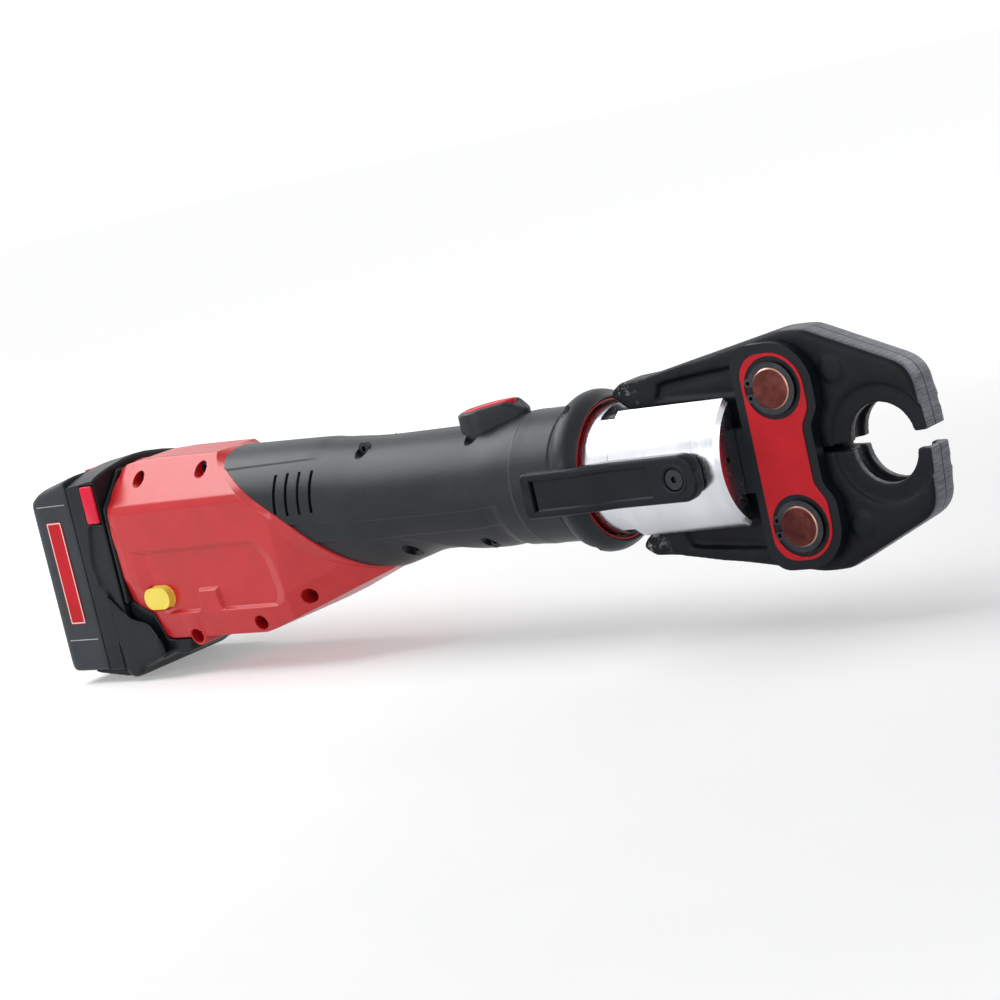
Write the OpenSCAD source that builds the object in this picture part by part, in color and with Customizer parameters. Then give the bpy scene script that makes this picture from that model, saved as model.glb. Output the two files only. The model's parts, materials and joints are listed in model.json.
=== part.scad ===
// Battery press tool: swivel fork head with press jaws, hydraulic drive in the handle, slide-on battery.
// The origin is the centre of the closed press contour, +X points forward along the tool axis, +Z is up.

/* [Press jaws] */
// Radius of the closed press contour
press_r = 16; // [14:0.5:17.5]
// Radius of the groove that takes the fitting's bead
bead_r = 19.2; // [18.5:0.1:20.5]
// Width of the bead groove
bead_w = 8; // [6:1:12]
// Radius of the shallow recess round the contour
recess_r = 25; // [22:0.5:27]
// Depth of that recess on each face
recess_depth = 1.5; // [0.5:0.5:3]
// Thickness of a jaw
jaw_t = 20; // [18:1:22]
// Distance from the press centre back to the jaw pins
pin_setback = 44; // [42:1:48]
// Distance between the two jaw pins
pin_spacing = 64; // [62:1:68]
// Diameter of a jaw pin
jaw_pin_d = 19; // [14:1:20]
// Height of a jaw's crown above its pin
crown_rise = 24; // [22:1:28]
// Distance from the press centre back to the front of that crown
crown_setback = 27; // [22:1:30]
// Length of the crown, which is nearly flat
crown_len = 14; // [10:1:18]
// Height of the corner of the jaw's nose below the crown
nose_drop = 26.5; // [24:0.5:29]
// Radius of the nose and of the crown's ends
nose_round = 14; // [8:1:16]
// Reach of the jaw tips in front of the press centre
tip_reach = 22.7; // [22.2:0.1:28]
// Length of a jaw tail behind its pin
tail_len = 93; // [88:1:95]
// Height of a tail's outer edge above its pin
tail_rise = 15; // [13:1:18]
// Gap between the jaws where they meet when closed
tip_gap = 0.6; // [0.4:0.1:1.5]
// Angle each jaw still has to close from its rest position
jaw_close_deg = 3.2; // [2.6:0.1:3.6]
// Radius of the round boss on a jaw's face
boss_r = 5.5; // [3:0.5:7]
// Height of that boss
boss_h = 0.8; // [0.4:0.1:1.2]
// Depth of the long pocket in a jaw tail
tail_pocket = 0.8; // [0.4:0.1:1.5]

/* [Side plates and pins] */
// Thickness of a side plate
plate_t = 6; // [4:0.5:7]
// Radius of a side plate's lobe round its pin
lobe_r = 20.5; // [18:0.5:22]
// How far the plate's front edge is drawn in at its waist
waist_in = 5; // [3:0.5:8]
// Width of the plate's tongue in the fork
tongue_w = 30; // [24:1:34]
// Length of the tongue behind the locking pin
tongue_end = 12.5; // [10:0.5:14]
// Width of the bare border round the sticker
label_border = 4.5; // [3:0.5:6]
// Thickness of a sticker
label_t = 0.4; // [0.2:0.1:0.6]
// Radius of the sticker's holes round the pins
label_hole_r = 14.6; // [13:0.1:15.5]
// Length of a jaw pin outside each plate
pin_stickout = 2.7; // [2.2:0.1:4]
// Thickness of a pin circlip
circlip_t = 1.5; // [1:0.1:1.6]
// Radial width of a pin circlip
circlip_w = 3.2; // [2.5:0.1:4]
// Wire radius of the spring between the jaw tails
jaw_spring_wire = 0.9; // [0.6:0.1:1.1]
// Mean radius of that spring
jaw_spring_r = 4.4; // [4:0.1:4.8]
// Turns of that spring
jaw_spring_turns = 9; // [6:1:10]

/* [Fork head] */
// Radius of the fork
fork_r = 34.5; // [33:0.5:38]
// Distance from the jaw pins back to the locking pin
lock_to_pins = 45; // [43:1:48]
// Length of the fork arms in front of the locking pin
fork_reach = 20; // [18:1:22]
// Length of the fork behind the locking pin
fork_root = 41; // [38:1:44]
// Depth of the fork's slot into the neck
slot_into_neck = 12; // [10:1:14]
// Radius of the neck
neck_r = 31.5; // [30:0.5:32]
// Bore of the neck, which the roller yoke slides in
neck_bore_r = 26.5; // [26:0.1:27]
// Chamfer on the fork's front edge
fork_chamfer = 2; // [1:0.5:3]
// Radius of the small hole in the near arm's end face
detent_r = 1.6; // [1:0.1:2]
// Depth of that hole
detent_depth = 12; // [6:1:12]

/* [Locking pin and lever] */
// Diameter of the locking pin
lock_pin_d = 14; // [12:1:15]
// Width of the lever
lever_w = 22; // [18:1:24]
// Length of the lever behind the locking pin
lever_len = 88; // [80:1:90]
// Thickness of the lever at the pin
lever_t = 7.5; // [7:0.5:9]
// Extra stand-off of the lever's free end, which clears the collar
lever_kick = 6.3; // [6:0.1:9]
// Depth of the lever's sunk panel
lever_panel = 1.2; // [0.5:0.1:1.5]
// Diameter of the lever screw's head
lever_screw_d = 9.5; // [8:0.5:10]
// Diameter of the lever screw's thread
lever_thread_d = 5; // [4:0.5:6]

/* [Press drive] */
// Radius of a roller
roller_r = 11; // [10:0.5:11]
// Length of a roller
roller_len = 18; // [14:1:18]
// Distance of a roller's centre from the tool axis
roller_off = 11.5; // [11.3:0.1:12]
// Distance from the locking pin back to the rollers at rest
roller_setback = 32; // [30:1:33]
// Radius of a roller axle
axle_r = 5; // [4:0.5:6]
// Thickness of a yoke cheek
cheek_t = 4; // [3:0.5:4.5]
// Length of the yoke's solid block
yoke_block = 16; // [12:1:16]
// Travel of the ram from rest to fully closed jaws
piston_advance = 8; // [6:1:8]
// Travel of the ram from rest to fully open jaws
piston_retreat = 32; // [26:1:32]
// Space from the grip's skin in to the press cylinder
cyl_space = 12; // [11.5:0.5:13]
// Share of the cylinder's radius that is its bore
bore_share = 0.75; // [0.7:0.01:0.8]
// Share of the bore's radius that is the piston rod
rod_share = 0.67; // [0.6:0.01:0.7]
// Length of the cylinder's front gland
gland_len = 13; // [10:1:16]
// Length of the piston
piston_len = 14; // [12:1:18]
// Width of the piston seal
seal_w = 4; // [3:0.5:5]
// Depth of the seal's groove
seal_depth = 2.4; // [2:0.1:3]
// Wire radius of the return spring
return_wire = 1.3; // [1:0.1:1.4]
// Turns of the return spring
return_turns = 5; // [4:1:5]
// Length left for the return spring at rest
spring_space = 22; // [22:1:28]
// Thickness of the cylinder's rear floor
cyl_floor = 9; // [6:1:12]

/* [Collar and swivel] */
// Gap from the fork's slot to the collar's front face
collar_standoff = 6; // [5:1:10]
// Largest radius of the collar
collar_r = 39.5; // [38.5:0.1:39.5]
// Length of the collar
collar_len = 42; // [41:1:46]
// Outer radius of the red ring
ring_r = 34.2; // [33.5:0.1:35]
// Depth of the red ring
ring_depth = 4; // [3:0.5:5]
// Outer radius of the swivel bush
bush_r = 36; // [35.5:0.1:36.5]
// Length of the swivel bush
bush_len = 31; // [28:1:32]
// Thickness of the head's retaining ring
head_ring_t = 2; // [1.5:0.1:2.2]
// Thickness of the collar's rear wall
collar_wall = 5.5; // [4:0.5:7]
// Length of the collar's spigot in the handle
spigot_len = 10; // [8:1:14]
// Radius of a collar screw
collar_screw_r = 2.4; // [2:0.1:2.6]
// Angle of the collar screws above and below the side
collar_screw_deg = 60; // [50:1:65]

/* [Handle] */
// Radius of the grip
handle_r = 32; // [31.5:0.1:33]
// Radius of the handle at the collar
handle_front_r = 34; // [33.2:0.1:34.2]
// Radius of the handle at its rear end
handle_rear_r = 34; // [33.5:0.1:34]
// Length of the handle's even stretch
grip_len = 93; // [88:1:98]
// Length of the handle from the collar to its rear end
handle_len = 210; // [206:1:216]
// Wall of the handle shells
handle_wall = 2.5; // [2:0.1:2.6]
// Width of a vent slot
vent_w = 1.6; // [1:0.1:2]
// Height of a vent slot
vent_h = 21; // [14:1:22]
// Spacing of the vent slots
vent_pitch = 8.2; // [6:0.1:9]
// Number of vent slots on each side
vent_count = 4; // [2:1:5]

/* [Rear housing] */
// Width of the rear housing
housing_w = 70; // [69:1:72]
// Top of the rear housing above the axis
housing_top = 40; // [39:0.5:42]
// Bottom of the rear housing below the axis
housing_drop = 61.5; // [60:0.5:64]
// Height of the shoulder line above the axis
shoulder_z = 15; // [12:1:18]
// Width of the flat on top
housing_top_w = 30; // [26:1:34]
// Width of the rear housing's front end under the handle
toe_w = 26; // [20:1:30]
// Height that the rear housing stands proud of the handle along its lip
lip_proud = 0.8; // [0.5:0.1:1]
// Length of the rear housing behind the handle's rear end
housing_len = 70.7; // [69:0.1:74]
// Wall of the rear housing
housing_wall = 3; // [2.5:0.1:3.4]
// Depth of the sunk side panel
panel_depth = 1; // [0.5:0.1:1.2]
// Diameter of a shell screw's head
screw_head_d = 6.8; // [6:0.2:7]
// Diameter of a shell screw's shank
screw_d = 3.4; // [3:0.1:3.6]
// Outer radius of a screw boss
screw_boss_r = 3.9; // [3.7:0.1:4.2]

/* [Buttons] */
// Length of the start button
start_len = 34; // [28:1:36]
// Width of the start button
start_w = 16; // [12:1:18]
// Travel of the start button
start_travel = 3; // [2:0.5:3]
// Length of the start button's surround
surround_len = 50; // [46:1:52]
// Width of the surround
surround_w = 32; // [28:1:34]
// Height of the surround above the grip
surround_h = 8.5; // [8.5:0.5:11]
// Length of the release button
release_len = 19; // [16:1:22]
// Height of the release button
release_w = 12; // [10:1:14]
// Travel of the release button
release_travel = 2.5; // [1.5:0.5:2.5]

/* [Drive train] */
// Room from the handle's outside in to the pump block
pump_space = 10; // [9.5:0.5:12]
// Length of the oil reservoir's sleeve
reservoir_len = 39; // [30:1:40]
// Radial thickness of that sleeve with its seat
reservoir_t = 3; // [2:0.5:3.5]
// Length of the pump block
pump_len = 44.8; // [42:0.1:46]
// Outer radius of the gearbox
gearbox_r = 24.5; // [24:0.5:26]
// Length of the gearbox
gearbox_len = 32; // [32:1:36]
// Module of the gears
gear_m = 0.8; // [0.75:0.05:0.85]
// Length of a planet gear
gear_len = 7; // [5:0.5:7]
// Throw of the eccentric
throw = 1.5; // [1:0.1:2]
// Radius of the motor
motor_r = 21; // [19:0.5:22]
// Length of the motor
motor_len = 55.8; // [52:0.1:60]
// Radius of the rotor
rotor_r = 16; // [13:0.5:17]
// Radius of the motor shaft
shaft_r = 2.5; // [2:0.1:2.8]

/* [Dock and battery] */
// Width of the battery
battery_w = 74; // [73:1:80]
// Depth of the battery case from its rear face to its seam
case_depth = 32.7; // [32:0.1:36]
// Depth of the battery cover from the seam to its front face
cover_depth = 12; // [11.8:0.1:14]
// Top of the battery cover above the axis
battery_top = 37; // [36:0.5:40]
// Bottom of the battery below the axis
battery_drop = 76; // [75:0.5:80]
// Wall of the battery case and cover
battery_wall = 2.5; // [2:0.1:2.6]
// Depth of the dock behind the rear housing
dock_depth = 13.3; // [13:0.1:16]
// Width of the dock between the battery's skirts
dock_w = 61; // [60:0.5:62]
// Bottom of the dock below the axis
dock_drop = 82.5; // [82:0.5:86]
// Length of the dock's shelf under the battery
shelf_len = 33; // [28:1:36]
// Travel of the battery release buttons
latch_travel = 2.5; // [1.5:0.5:2.5]
// Diameter of a battery cell
cell_d = 18.2; // [18:0.1:18.4]
// Length of a battery cell
cell_len = 65; // [64:0.5:66]
// Width of the sticker on each side of the battery
pack_label_w = 12; // [10:0.5:14]
// Length of that sticker
pack_label_len = 59; // [50:1:64]
// Top of that sticker above the axis
pack_label_top = 11; // [6:1:14]
// Distance of that sticker from the battery's rear face
pack_label_in = 11.5; // [8:0.5:13]
// Width of the control board
board_w = 48; // [44:1:50]
// Thickness of the control board
board_t = 1.6; // [1.2:0.1:2]

/* [Fits] */
// Radial running clearance of a pin or shaft
run = 0.05; // [0.02:0.01:0.08]
// Gap between parts that are fixed to each other
seat = 0.2; // [0.1:0.05:0.25]
// Gap between parts that move past each other
slip = 0.35; // [0.3:0.05:0.4]

/* [Hidden] */
$fn = 64;
eps = 0.01;
deep = 200;

// Press cylinder, from the grip inwards
cyl_r = handle_r - cyl_space;
pump_r = handle_r - pump_space;
cyl_bore_r = cyl_r * bore_share;
rod_r = cyl_bore_r * rod_share;

// Stations along the axis, from the jaws backwards
x_pin = -pin_setback;
z_pin = pin_spacing / 2;
x_lock = x_pin - lock_to_pins;
x_fork_end = x_lock + fork_reach;
x_neck = x_lock - fork_root;
x_slot = x_neck - slot_into_neck;
x_collar = x_slot - collar_standoff;
x_roller = x_lock - roller_setback;
x_bush_front = x_collar - ring_depth - seat;
x_bush_rear = x_bush_front - bush_len;
x_head_ring = x_bush_rear - slip - head_ring_t;
x_sleeve = x_head_ring - 1.2;
x_cyl = x_sleeve - slip;
x_collar_wall = x_cyl - 0.5;
x_handle = x_collar - collar_len - seat;
x_spigot = min(x_collar_wall - collar_wall, x_handle) - spigot_len;
x_gland = x_cyl - gland_len;
x_piston = x_gland - spring_space;
x_bore_rear = x_piston - piston_len - piston_retreat - 3;
x_cyl_rear = x_bore_rear - cyl_floor;
x_pump = x_cyl_rear - seat - pump_len;
x_gearbox = x_pump - seat - gearbox_len;
x_motor = x_gearbox - seat - motor_len;
x_handle_rear = x_handle - handle_len;
x_housing = x_handle_rear - housing_len;
x_dock = x_housing - 0.5 - dock_depth;
x_cover = x_dock - slip;
x_seam = x_cover - cover_depth;
x_battery = x_seam - case_depth;

// Heights across the jaw set
plate_in = jaw_t / 2 + slip;
plate_out = plate_in + plate_t;
slot_w = 2 * (plate_out + slip);
jaw_deg_per_mm = jaw_close_deg / piston_advance;
jaw_pin_r = jaw_pin_d / 2;
lock_r = lock_pin_d / 2;
grip_in = handle_r - handle_wall;

// Small shape helpers
module box(x0, x1, y0, y1, z0, z1) {
    translate([x0, y0, z0]) cube([x1 - x0, y1 - y0, z1 - z0]);
}
module rod_x(x0, x1, r, y = 0, z = 0) {
    translate([x0, y, z]) rotate([0, 90, 0]) cylinder(h = x1 - x0, r = r);
}
module rod_y(y0, y1, r, x, z = 0) {
    translate([x, y0, z]) rotate([-90, 0, 0]) cylinder(h = y1 - y0, r = r);
}
module rod_z(z0, z1, r, x, y = 0) {
    translate([x, y, z0]) cylinder(h = z1 - z0, r = r);
}
module tube_x(x0, x1, ro, ri) {
    difference() {
        rod_x(x0, x1, ro);
        rod_x(x0 - 1, x1 + 1, ri);
    }
}
// Turned shape from points of station and radius
module turned(points) {
    rotate([0, 90, 0]) rotate_extrude() polygon([for (p = points) [p[1], p[0]]]);
}
// Flat shape drawn in X and Z, from y0 to y1
module plate_y(y0, y1) {
    translate([0, y1, 0]) rotate([90, 0, 0]) linear_extrude(y1 - y0) children();
}
// Flat shape drawn in Y and Z, from x0 to x1
module plate_x(x0, x1) {
    translate([x0, 0, 0]) rotate([90, 0, 90]) linear_extrude(x1 - x0) children();
}
// Flat shape drawn in X and Y, from z0 to z1
module plate_z(z0, z1) {
    translate([0, 0, z0]) linear_extrude(z1 - z0) children();
}
module stadium(len, w) {
    square([len - w, w], center = true);
    for (s = [-1, 1]) translate([s * (len - w) / 2, 0]) circle(d = w);
}
module far_side() {
    mirror([0, 1, 0]) children();
}
module both_sides() {
    children();
    far_side() children();
}
module near_half() {
    intersection() {
        children();
        box(-1000, 1000, -1000, -seat / 4, -1000, 1000);
    }
}

// Corner p1 between p0 and p2, rounded with radius r in a few steps
function round_corner(p0, p1, p2, r, steps = 5) =
    let (u = (p0 - p1) / norm(p0 - p1), v = (p2 - p1) / norm(p2 - p1),
         half = acos(u * v) / 2, centre = p1 + (u + v) / norm(u + v) * r / sin(half),
         a = p1 + u * r / tan(half) - centre, b = p1 + v * r / tan(half) - centre,
         start = atan2(a[1], a[0]), turn = atan2(a[0] * b[1] - a[1] * b[0], a * b))
    [for (i = [0:steps]) centre + r * [cos(start + turn * i / steps), sin(start + turn * i / steps)]];
// Outline from points of x, y and corner radius
function rounded(points, steps = 5) =
    let (n = len(points), xy = [for (p = points) [p[0], p[1]]])
    [for (i = [0:n - 1])
        each (points[i][2] > 0
            ? round_corner(xy[(i + n - 1) % n], xy[i], xy[(i + 1) % n], points[i][2], steps)
            : [xy[i]])];
// Counter-clockwise outline moved inwards by d
function inset(points, d) =
    let (n = len(points))
    [for (i = [0:n - 1])
        let (e = points[i] - points[(i + n - 1) % n], g = points[(i + 1) % n] - points[i],
             p = [-e[1], e[0]] / norm(e), q = [-g[1], g[0]] / norm(g))
        points[i] + d * (p + q) / (1 + p * q)];

// Point of a helix about Z with its tube ring
function coil_ring(r, wire, pitch, deg, sides) =
    let (out = [cos(deg), sin(deg), 0], slope = pitch / (2 * PI * r),
         along = [-sin(deg), cos(deg), slope] / norm([1, slope]), up = cross(along, out))
    [for (k = [0:sides - 1])
        r * out + [0, 0, pitch * deg / 360]
        + wire * (cos(360 * k / sides) * out + sin(360 * k / sides) * up)];
// Spring coil about Z from height 0 to len, wire included
module coil(r, wire, turns, len, sides = 6, rings = 12) {
    pitch = (len - 2 * wire) / turns;
    last = turns * rings;
    points = [for (i = [0:last]) each coil_ring(r, wire, pitch, 360 * i / rings, sides)];
    skin = [for (i = [0:last - 1], k = [0:sides - 1])
        let (a = i * sides + k, b = i * sides + (k + 1) % sides)
        each [[a, a + sides, b], [b, a + sides, b + sides]]];
    caps = [for (k = [1:sides - 2])
        each [[0, k, k + 1], [last * sides, last * sides + k + 1, last * sides + k]]];
    echo(str("coil gap ", pitch - 2 * wire));
    translate([0, 0, wire]) polyhedron(points, concat(skin, caps), convexity = 6);
}

// Gear outline with involute flanks, tip and root given as heights from the pitch circle
function involute_deg(r, base) =
    let (t = sqrt(max(pow(r / base, 2) - 1, 0))) t * 180 / PI - atan(t);
function gear_outline(teeth, m, play, tip, root, steps = 3) =
    let (pitch_r = teeth * m / 2, base = pitch_r * cos(20), low = pitch_r - root,
         start = max(base, low), high = pitch_r + tip,
         half = 90 / teeth - play / pitch_r * 180 / PI + involute_deg(pitch_r, base),
         radii = [for (i = [0:steps]) start + (high - start) * i / steps],
         flank = concat(low < base ? [[low, half - involute_deg(base, base)]] : [],
                        [for (r = radii) [r, half - involute_deg(r, base)]]),
         n = len(flank))
    [for (i = [0:teeth - 1], j = [0:2 * n - 1])
        let (f = j < n ? flank[j] : flank[2 * n - 1 - j], a = 360 * i / teeth + (j < n ? -f[1] : f[1]))
        f[0] * [cos(a), sin(a)]];

// Press jaws: outline of the upper jaw, closed, about the press centre
crown_z = z_pin + crown_rise;
tail_x = x_pin - tail_len;
tail_z = z_pin + tail_rise;
// Centre of the upper roller in the frame of the closed upper jaw, at ram position s
function roller_path(s) =
    let (open = jaw_deg_per_mm * (piston_advance - s),
         d = [x_roller + s - x_pin, roller_off - z_pin])
    [x_pin + d[0] * cos(open) + d[1] * sin(open), z_pin - d[0] * sin(open) + d[1] * cos(open)];
function cam_point(s) =
    let (t = roller_path(s - 0.5) - roller_path(s + 0.5), normal = [t[1], -t[0]] / norm(t))
    roller_path(s) + (roller_r + slip) * normal;
cam_steps = 20;
cam_all = [for (i = [0:cam_steps]) cam_point(piston_advance - i * (piston_advance + 24) / cam_steps)];
cam = [for (p = cam_all) if (p[0] > tail_x + 0.8) p];
jaw_heel = tip_gap / 2;
cam_end = cam[len(cam) - 1];
jaw_points = rounded(concat(
    [[tip_reach, jaw_heel, 0], [tip_reach - 0.6, crown_z - nose_drop, nose_round],
     [-crown_setback, crown_z - 1, nose_round], [-crown_setback - crown_len, crown_z, nose_round],
     [tail_x + 19, tail_z, 8], [tail_x + 6, tail_z, 4], [tail_x, tail_z - 3.5, 1.5],
     [tail_x, cam_end[1] + 1.1 * (cam_end[0] - tail_x) + slip, 0]],
    [for (i = [len(cam) - 1:-1:0]) [cam[i][0], cam[i][1], 0]],
    [[x_lock - 7, cam[0][1] + 1.5, 0], [x_lock + 5, z_pin - 13, 0], [x_pin - 26, z_pin - 24, 0],
     [x_pin, jaw_heel, 0]]));
spring_x = x_pin - 26;
spring_pocket_r = jaw_spring_r + jaw_spring_wire + 0.9;
spring_floor = z_pin - 12;

module jaw_rest() {
    translate([x_pin, 0, z_pin]) rotate([0, -jaw_close_deg, 0]) translate([-x_pin, 0, -z_pin]) children();
}
module jaw_solid() {
    difference() {
        union() {
            plate_y(-jaw_t / 2, jaw_t / 2) polygon(jaw_points);
            rod_y(-jaw_t / 2 - boss_h, jaw_t / 2 + boss_h, boss_r, x_pin + 28, z_pin + 2.5);
        }
        rod_y(-deep, deep, press_r, 0);
        rod_y(-bead_w / 2, bead_w / 2, bead_r, 0);
        both_sides() rod_y(jaw_t / 2 - recess_depth, deep, recess_r, 0);
        rod_y(-deep, deep, jaw_pin_r + run, x_pin, z_pin);
        rod_z(jaw_heel - deep, spring_floor, spring_pocket_r, spring_x);
        both_sides() plate_y(jaw_t / 2 - tail_pocket, deep)
            polygon([[tail_x + 26, tail_z - 9], [x_pin - 28, tail_z - 7],
                     [x_pin - 28, tail_z - 1], [tail_x + 26, tail_z - 4]]);
    }
}
module upper_jaw() {
    color("#2b2d31") jaw_rest() jaw_solid();
}
module lower_jaw() {
    color("#2b2d31") mirror([0, 0, 1]) jaw_rest() jaw_solid();
}
module jaw_spring() {
    reach = spring_floor - 26 * sin(jaw_close_deg) - 0.9;
    color("silver") translate([x_pin - 25.2, 0, -reach])
        coil(jaw_spring_r, jaw_spring_wire, jaw_spring_turns, 2 * reach);
}

// Side plates, their stickers, and the jaw pins
module plate_outline(d) {
    front = x_pin + lobe_r - d;
    rear = x_pin - lobe_r + d;
    waist = front - waist_in;
    end = z_pin + lobe_r - d;
    polygon(rounded([
        [rear, -end, lobe_r * 0.55], [front, -end, lobe_r - d], [front, -z_pin * 0.66, 11],
        [waist, -z_pin * 0.42, 9], [waist, z_pin * 0.42, 9], [front, z_pin * 0.66, 11],
        [front, end, lobe_r - d], [rear, end, lobe_r * 0.55]], 9));
}
module side_plate() {
    difference() {
        plate_y(-plate_out, -plate_in) union() {
            plate_outline(0);
            translate([x_lock, -tongue_w / 2]) square([x_pin - lobe_r - x_lock + 1, tongue_w]);
            intersection() {
                translate([x_lock, 0]) circle(r = tongue_end + 6);
                translate([x_lock - tongue_end, -tongue_w / 2]) square([tongue_end + 1, tongue_w]);
            }
        }
        for (s = [-1, 1]) rod_y(-deep, deep, jaw_pin_r + run, x_pin, s * z_pin);
        rod_y(-deep, deep, lock_r + run, x_lock);
    }
}
module side_plate_near() {
    color("#1d1e20") side_plate();
}
module side_plate_far() {
    color("#1d1e20") far_side() side_plate();
}
module plate_labels() {
    color("#c8141c") both_sides() difference() {
        plate_y(-plate_out - label_t, -plate_out) plate_outline(label_border);
        for (s = [-1, 1]) rod_y(-deep, deep, label_hole_r, x_pin, s * z_pin);
    }
}
clip_y = plate_out + seat;
clip_in = jaw_pin_r - 0.6;
module jaw_pin() {
    end = plate_out + pin_stickout;
    difference() {
        rotate([90, 0, 0]) rotate_extrude() polygon([[0, -end], [jaw_pin_r - 0.8, -end],
            [jaw_pin_r, 0.8 - end], [jaw_pin_r, end - 0.8], [jaw_pin_r - 0.8, end], [0, end]]);
        both_sides() translate([0, -clip_y - circlip_t - 0.1, 0]) rotate([-90, 0, 0]) difference() {
            cylinder(h = circlip_t + 0.2, r = jaw_pin_r + 1);
            cylinder(h = circlip_t + 0.2, r = clip_in - run);
        }
    }
}
module jaw_pin_upper() {
    color("#7a3f2c") translate([x_pin, 0, z_pin]) jaw_pin();
}
module jaw_pin_lower() {
    color("#7a3f2c") translate([x_pin, 0, -z_pin]) jaw_pin();
}
// Retaining ring with two eyelets beside its gap
module circlip() {
    lug_at = clip_in + circlip_w * 0.7;
    difference() {
        union() {
            circle(r = clip_in + circlip_w);
            for (s = [-1, 1]) rotate(s * 17) translate([-lug_at - 0.6, 0]) circle(r = 2.3);
        }
        circle(r = clip_in);
        translate([-deep, -1.6]) square([deep, 3.2]);
        for (s = [-1, 1]) rotate(s * 17) translate([-lug_at - 0.8, 0]) circle(r = 0.9);
    }
}
module pin_circlips() {
    color("#151517") both_sides() for (s = [-1, 1])
        plate_y(-clip_y - circlip_t, -clip_y) translate([x_pin, s * z_pin]) circlip();
}

// Fork head
module fork_head() {
    step = fork_r - neck_r;
    color("gainsboro") difference() {
        turned([[x_sleeve, 0], [x_sleeve, neck_r], [x_neck - step, neck_r], [x_neck, fork_r],
                [x_fork_end - fork_chamfer, fork_r], [x_fork_end, fork_r - fork_chamfer], [x_fork_end, 0]]);
        box(x_slot, x_fork_end + 1, -slot_w / 2, slot_w / 2, -deep, deep);
        rod_x(x_sleeve - 1, x_yoke + yoke_block + piston_advance + 1, neck_bore_r);
        rod_y(-deep, deep, lock_r + run, x_lock);
        rod_x(x_fork_end - detent_depth, x_fork_end + 1, detent_r, -(fork_r + slot_w / 2) / 2, 3);
        tube_x(x_head_ring - 0.1, x_head_ring + head_ring_t + 0.1, neck_r + 1, neck_r - 1.6 - run);
    }
}
module head_circlip() {
    color("#303236") difference() {
        tube_x(x_head_ring, x_head_ring + head_ring_t, neck_r + 3, neck_r - 1.6);
        box(x_head_ring - 1, x_head_ring + head_ring_t + 1, -4, 4, 0, deep);
    }
}

// Locking pin, lever and screw
pin_far = fork_r - 1.5;
lever_in = -(fork_r + 0.6);
lever_out = lever_in - lever_t;
lever_tail_in = lever_in - lever_kick;
lever_tail_out = lever_out - lever_kick;
x_lever_front = x_lock + lever_w / 2;
x_lever_rear = x_lock - lever_len;
lever_bore = 3.5;
function lever_face(x) =
    lever_out + (lever_tail_out - lever_out) * (x_lever_front - x) / (x_lever_front - x_lever_rear);
module locking_pin() {
    color("silver") difference() {
        union() {
            rod_y(lever_in - lever_bore, pin_far - 2, lock_r, x_lock);
            rod_y(pin_far - 2 - eps, pin_far, lock_r - 1.5, x_lock);
        }
        rod_y(lever_in - deep, lever_in + 9, lever_thread_d / 2 + run, x_lock);
    }
}
module pin_lever() {
    kick_x = x_neck - 1;
    screw_seat = lever_out + 3;
    color("#1d1f22") difference() {
        intersection() {
            plate_z(-lever_w / 2, lever_w / 2) polygon([
                [x_lever_front, lever_in], [x_lever_front, lever_out], [x_lever_rear, lever_tail_out],
                [x_lever_rear, lever_tail_in], [kick_x - 8, lever_tail_in], [kick_x, lever_in]]);
            plate_y(-deep, 0) union() {
                translate([x_lock, 0]) circle(d = lever_w);
                polygon(rounded([[x_lever_rear, -lever_w / 2, 3], [x_lock, -lever_w / 2, 0],
                                 [x_lock, lever_w / 2, 0], [x_lever_rear, lever_w / 2, 3]]));
            }
        }
        rod_y(lever_in - lever_bore - slip, lever_in + 1, lock_r + run, x_lock);
        rod_y(-deep, lever_in, lever_thread_d / 2 + 0.2, x_lock);
        rod_y(-deep, screw_seat, lever_screw_d / 2 + 0.3, x_lock);
        plate_z(-lever_w * 0.32, lever_w * 0.32) polygon([
            [x_lock - 12, lever_face(x_lock - 12) + lever_panel], [x_lock - 12, lever_face(x_lock - 12) - 2],
            [x_lever_rear + 8, lever_face(x_lever_rear + 8) - 2],
            [x_lever_rear + 8, lever_face(x_lever_rear + 8) + lever_panel]]);
        box(x_lever_rear + 10, x_lever_rear + 15, -deep, lever_tail_out + 4,
            -lever_w * 0.26, lever_w * 0.26);
    }
}
module lever_screw() {
    seat_y = lever_out + 3 - seat;
    color("#3a3c40") difference() {
        union() {
            rod_y(lever_out + 0.3, seat_y, lever_screw_d / 2, x_lock);
            rod_y(seat_y - eps, lever_in + 8, lever_thread_d / 2, x_lock);
        }
        translate([x_lock, lever_out - 1, 0]) rotate([-90, 0, 0]) cylinder(h = 3, r = 1.75, $fn = 6);
    }
}

// Ram, yoke and rollers
module piston() {
    groove = x_piston - piston_len / 2;
    color("silver") difference() {
        union() {
            rod_x(x_piston - piston_len, x_piston, cyl_bore_r - run);
            rod_x(x_piston - eps, x_yoke + eps, rod_r);
        }
        tube_x(groove - seal_w / 2 - 0.1, groove + seal_w / 2 + 0.1,
            cyl_bore_r + 1, cyl_bore_r - seal_depth - 0.1);
    }
}
module piston_seal() {
    groove = x_piston - piston_len / 2;
    color("#222222") tube_x(groove - seal_w / 2, groove + seal_w / 2,
        cyl_bore_r - run / 2, cyl_bore_r - seal_depth);
}
module return_spring() {
    r = (rod_r + cyl_bore_r) / 2;
    color("silver") translate([x_piston + seat, 0, 0]) rotate([0, 90, 0])
        coil(r, return_wire, return_turns, spring_space - 2 * seat);
}
x_yoke = x_roller - 31;
yoke_r = neck_bore_r - 1;
cheek_in = roller_len / 2 + slip;
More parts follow.
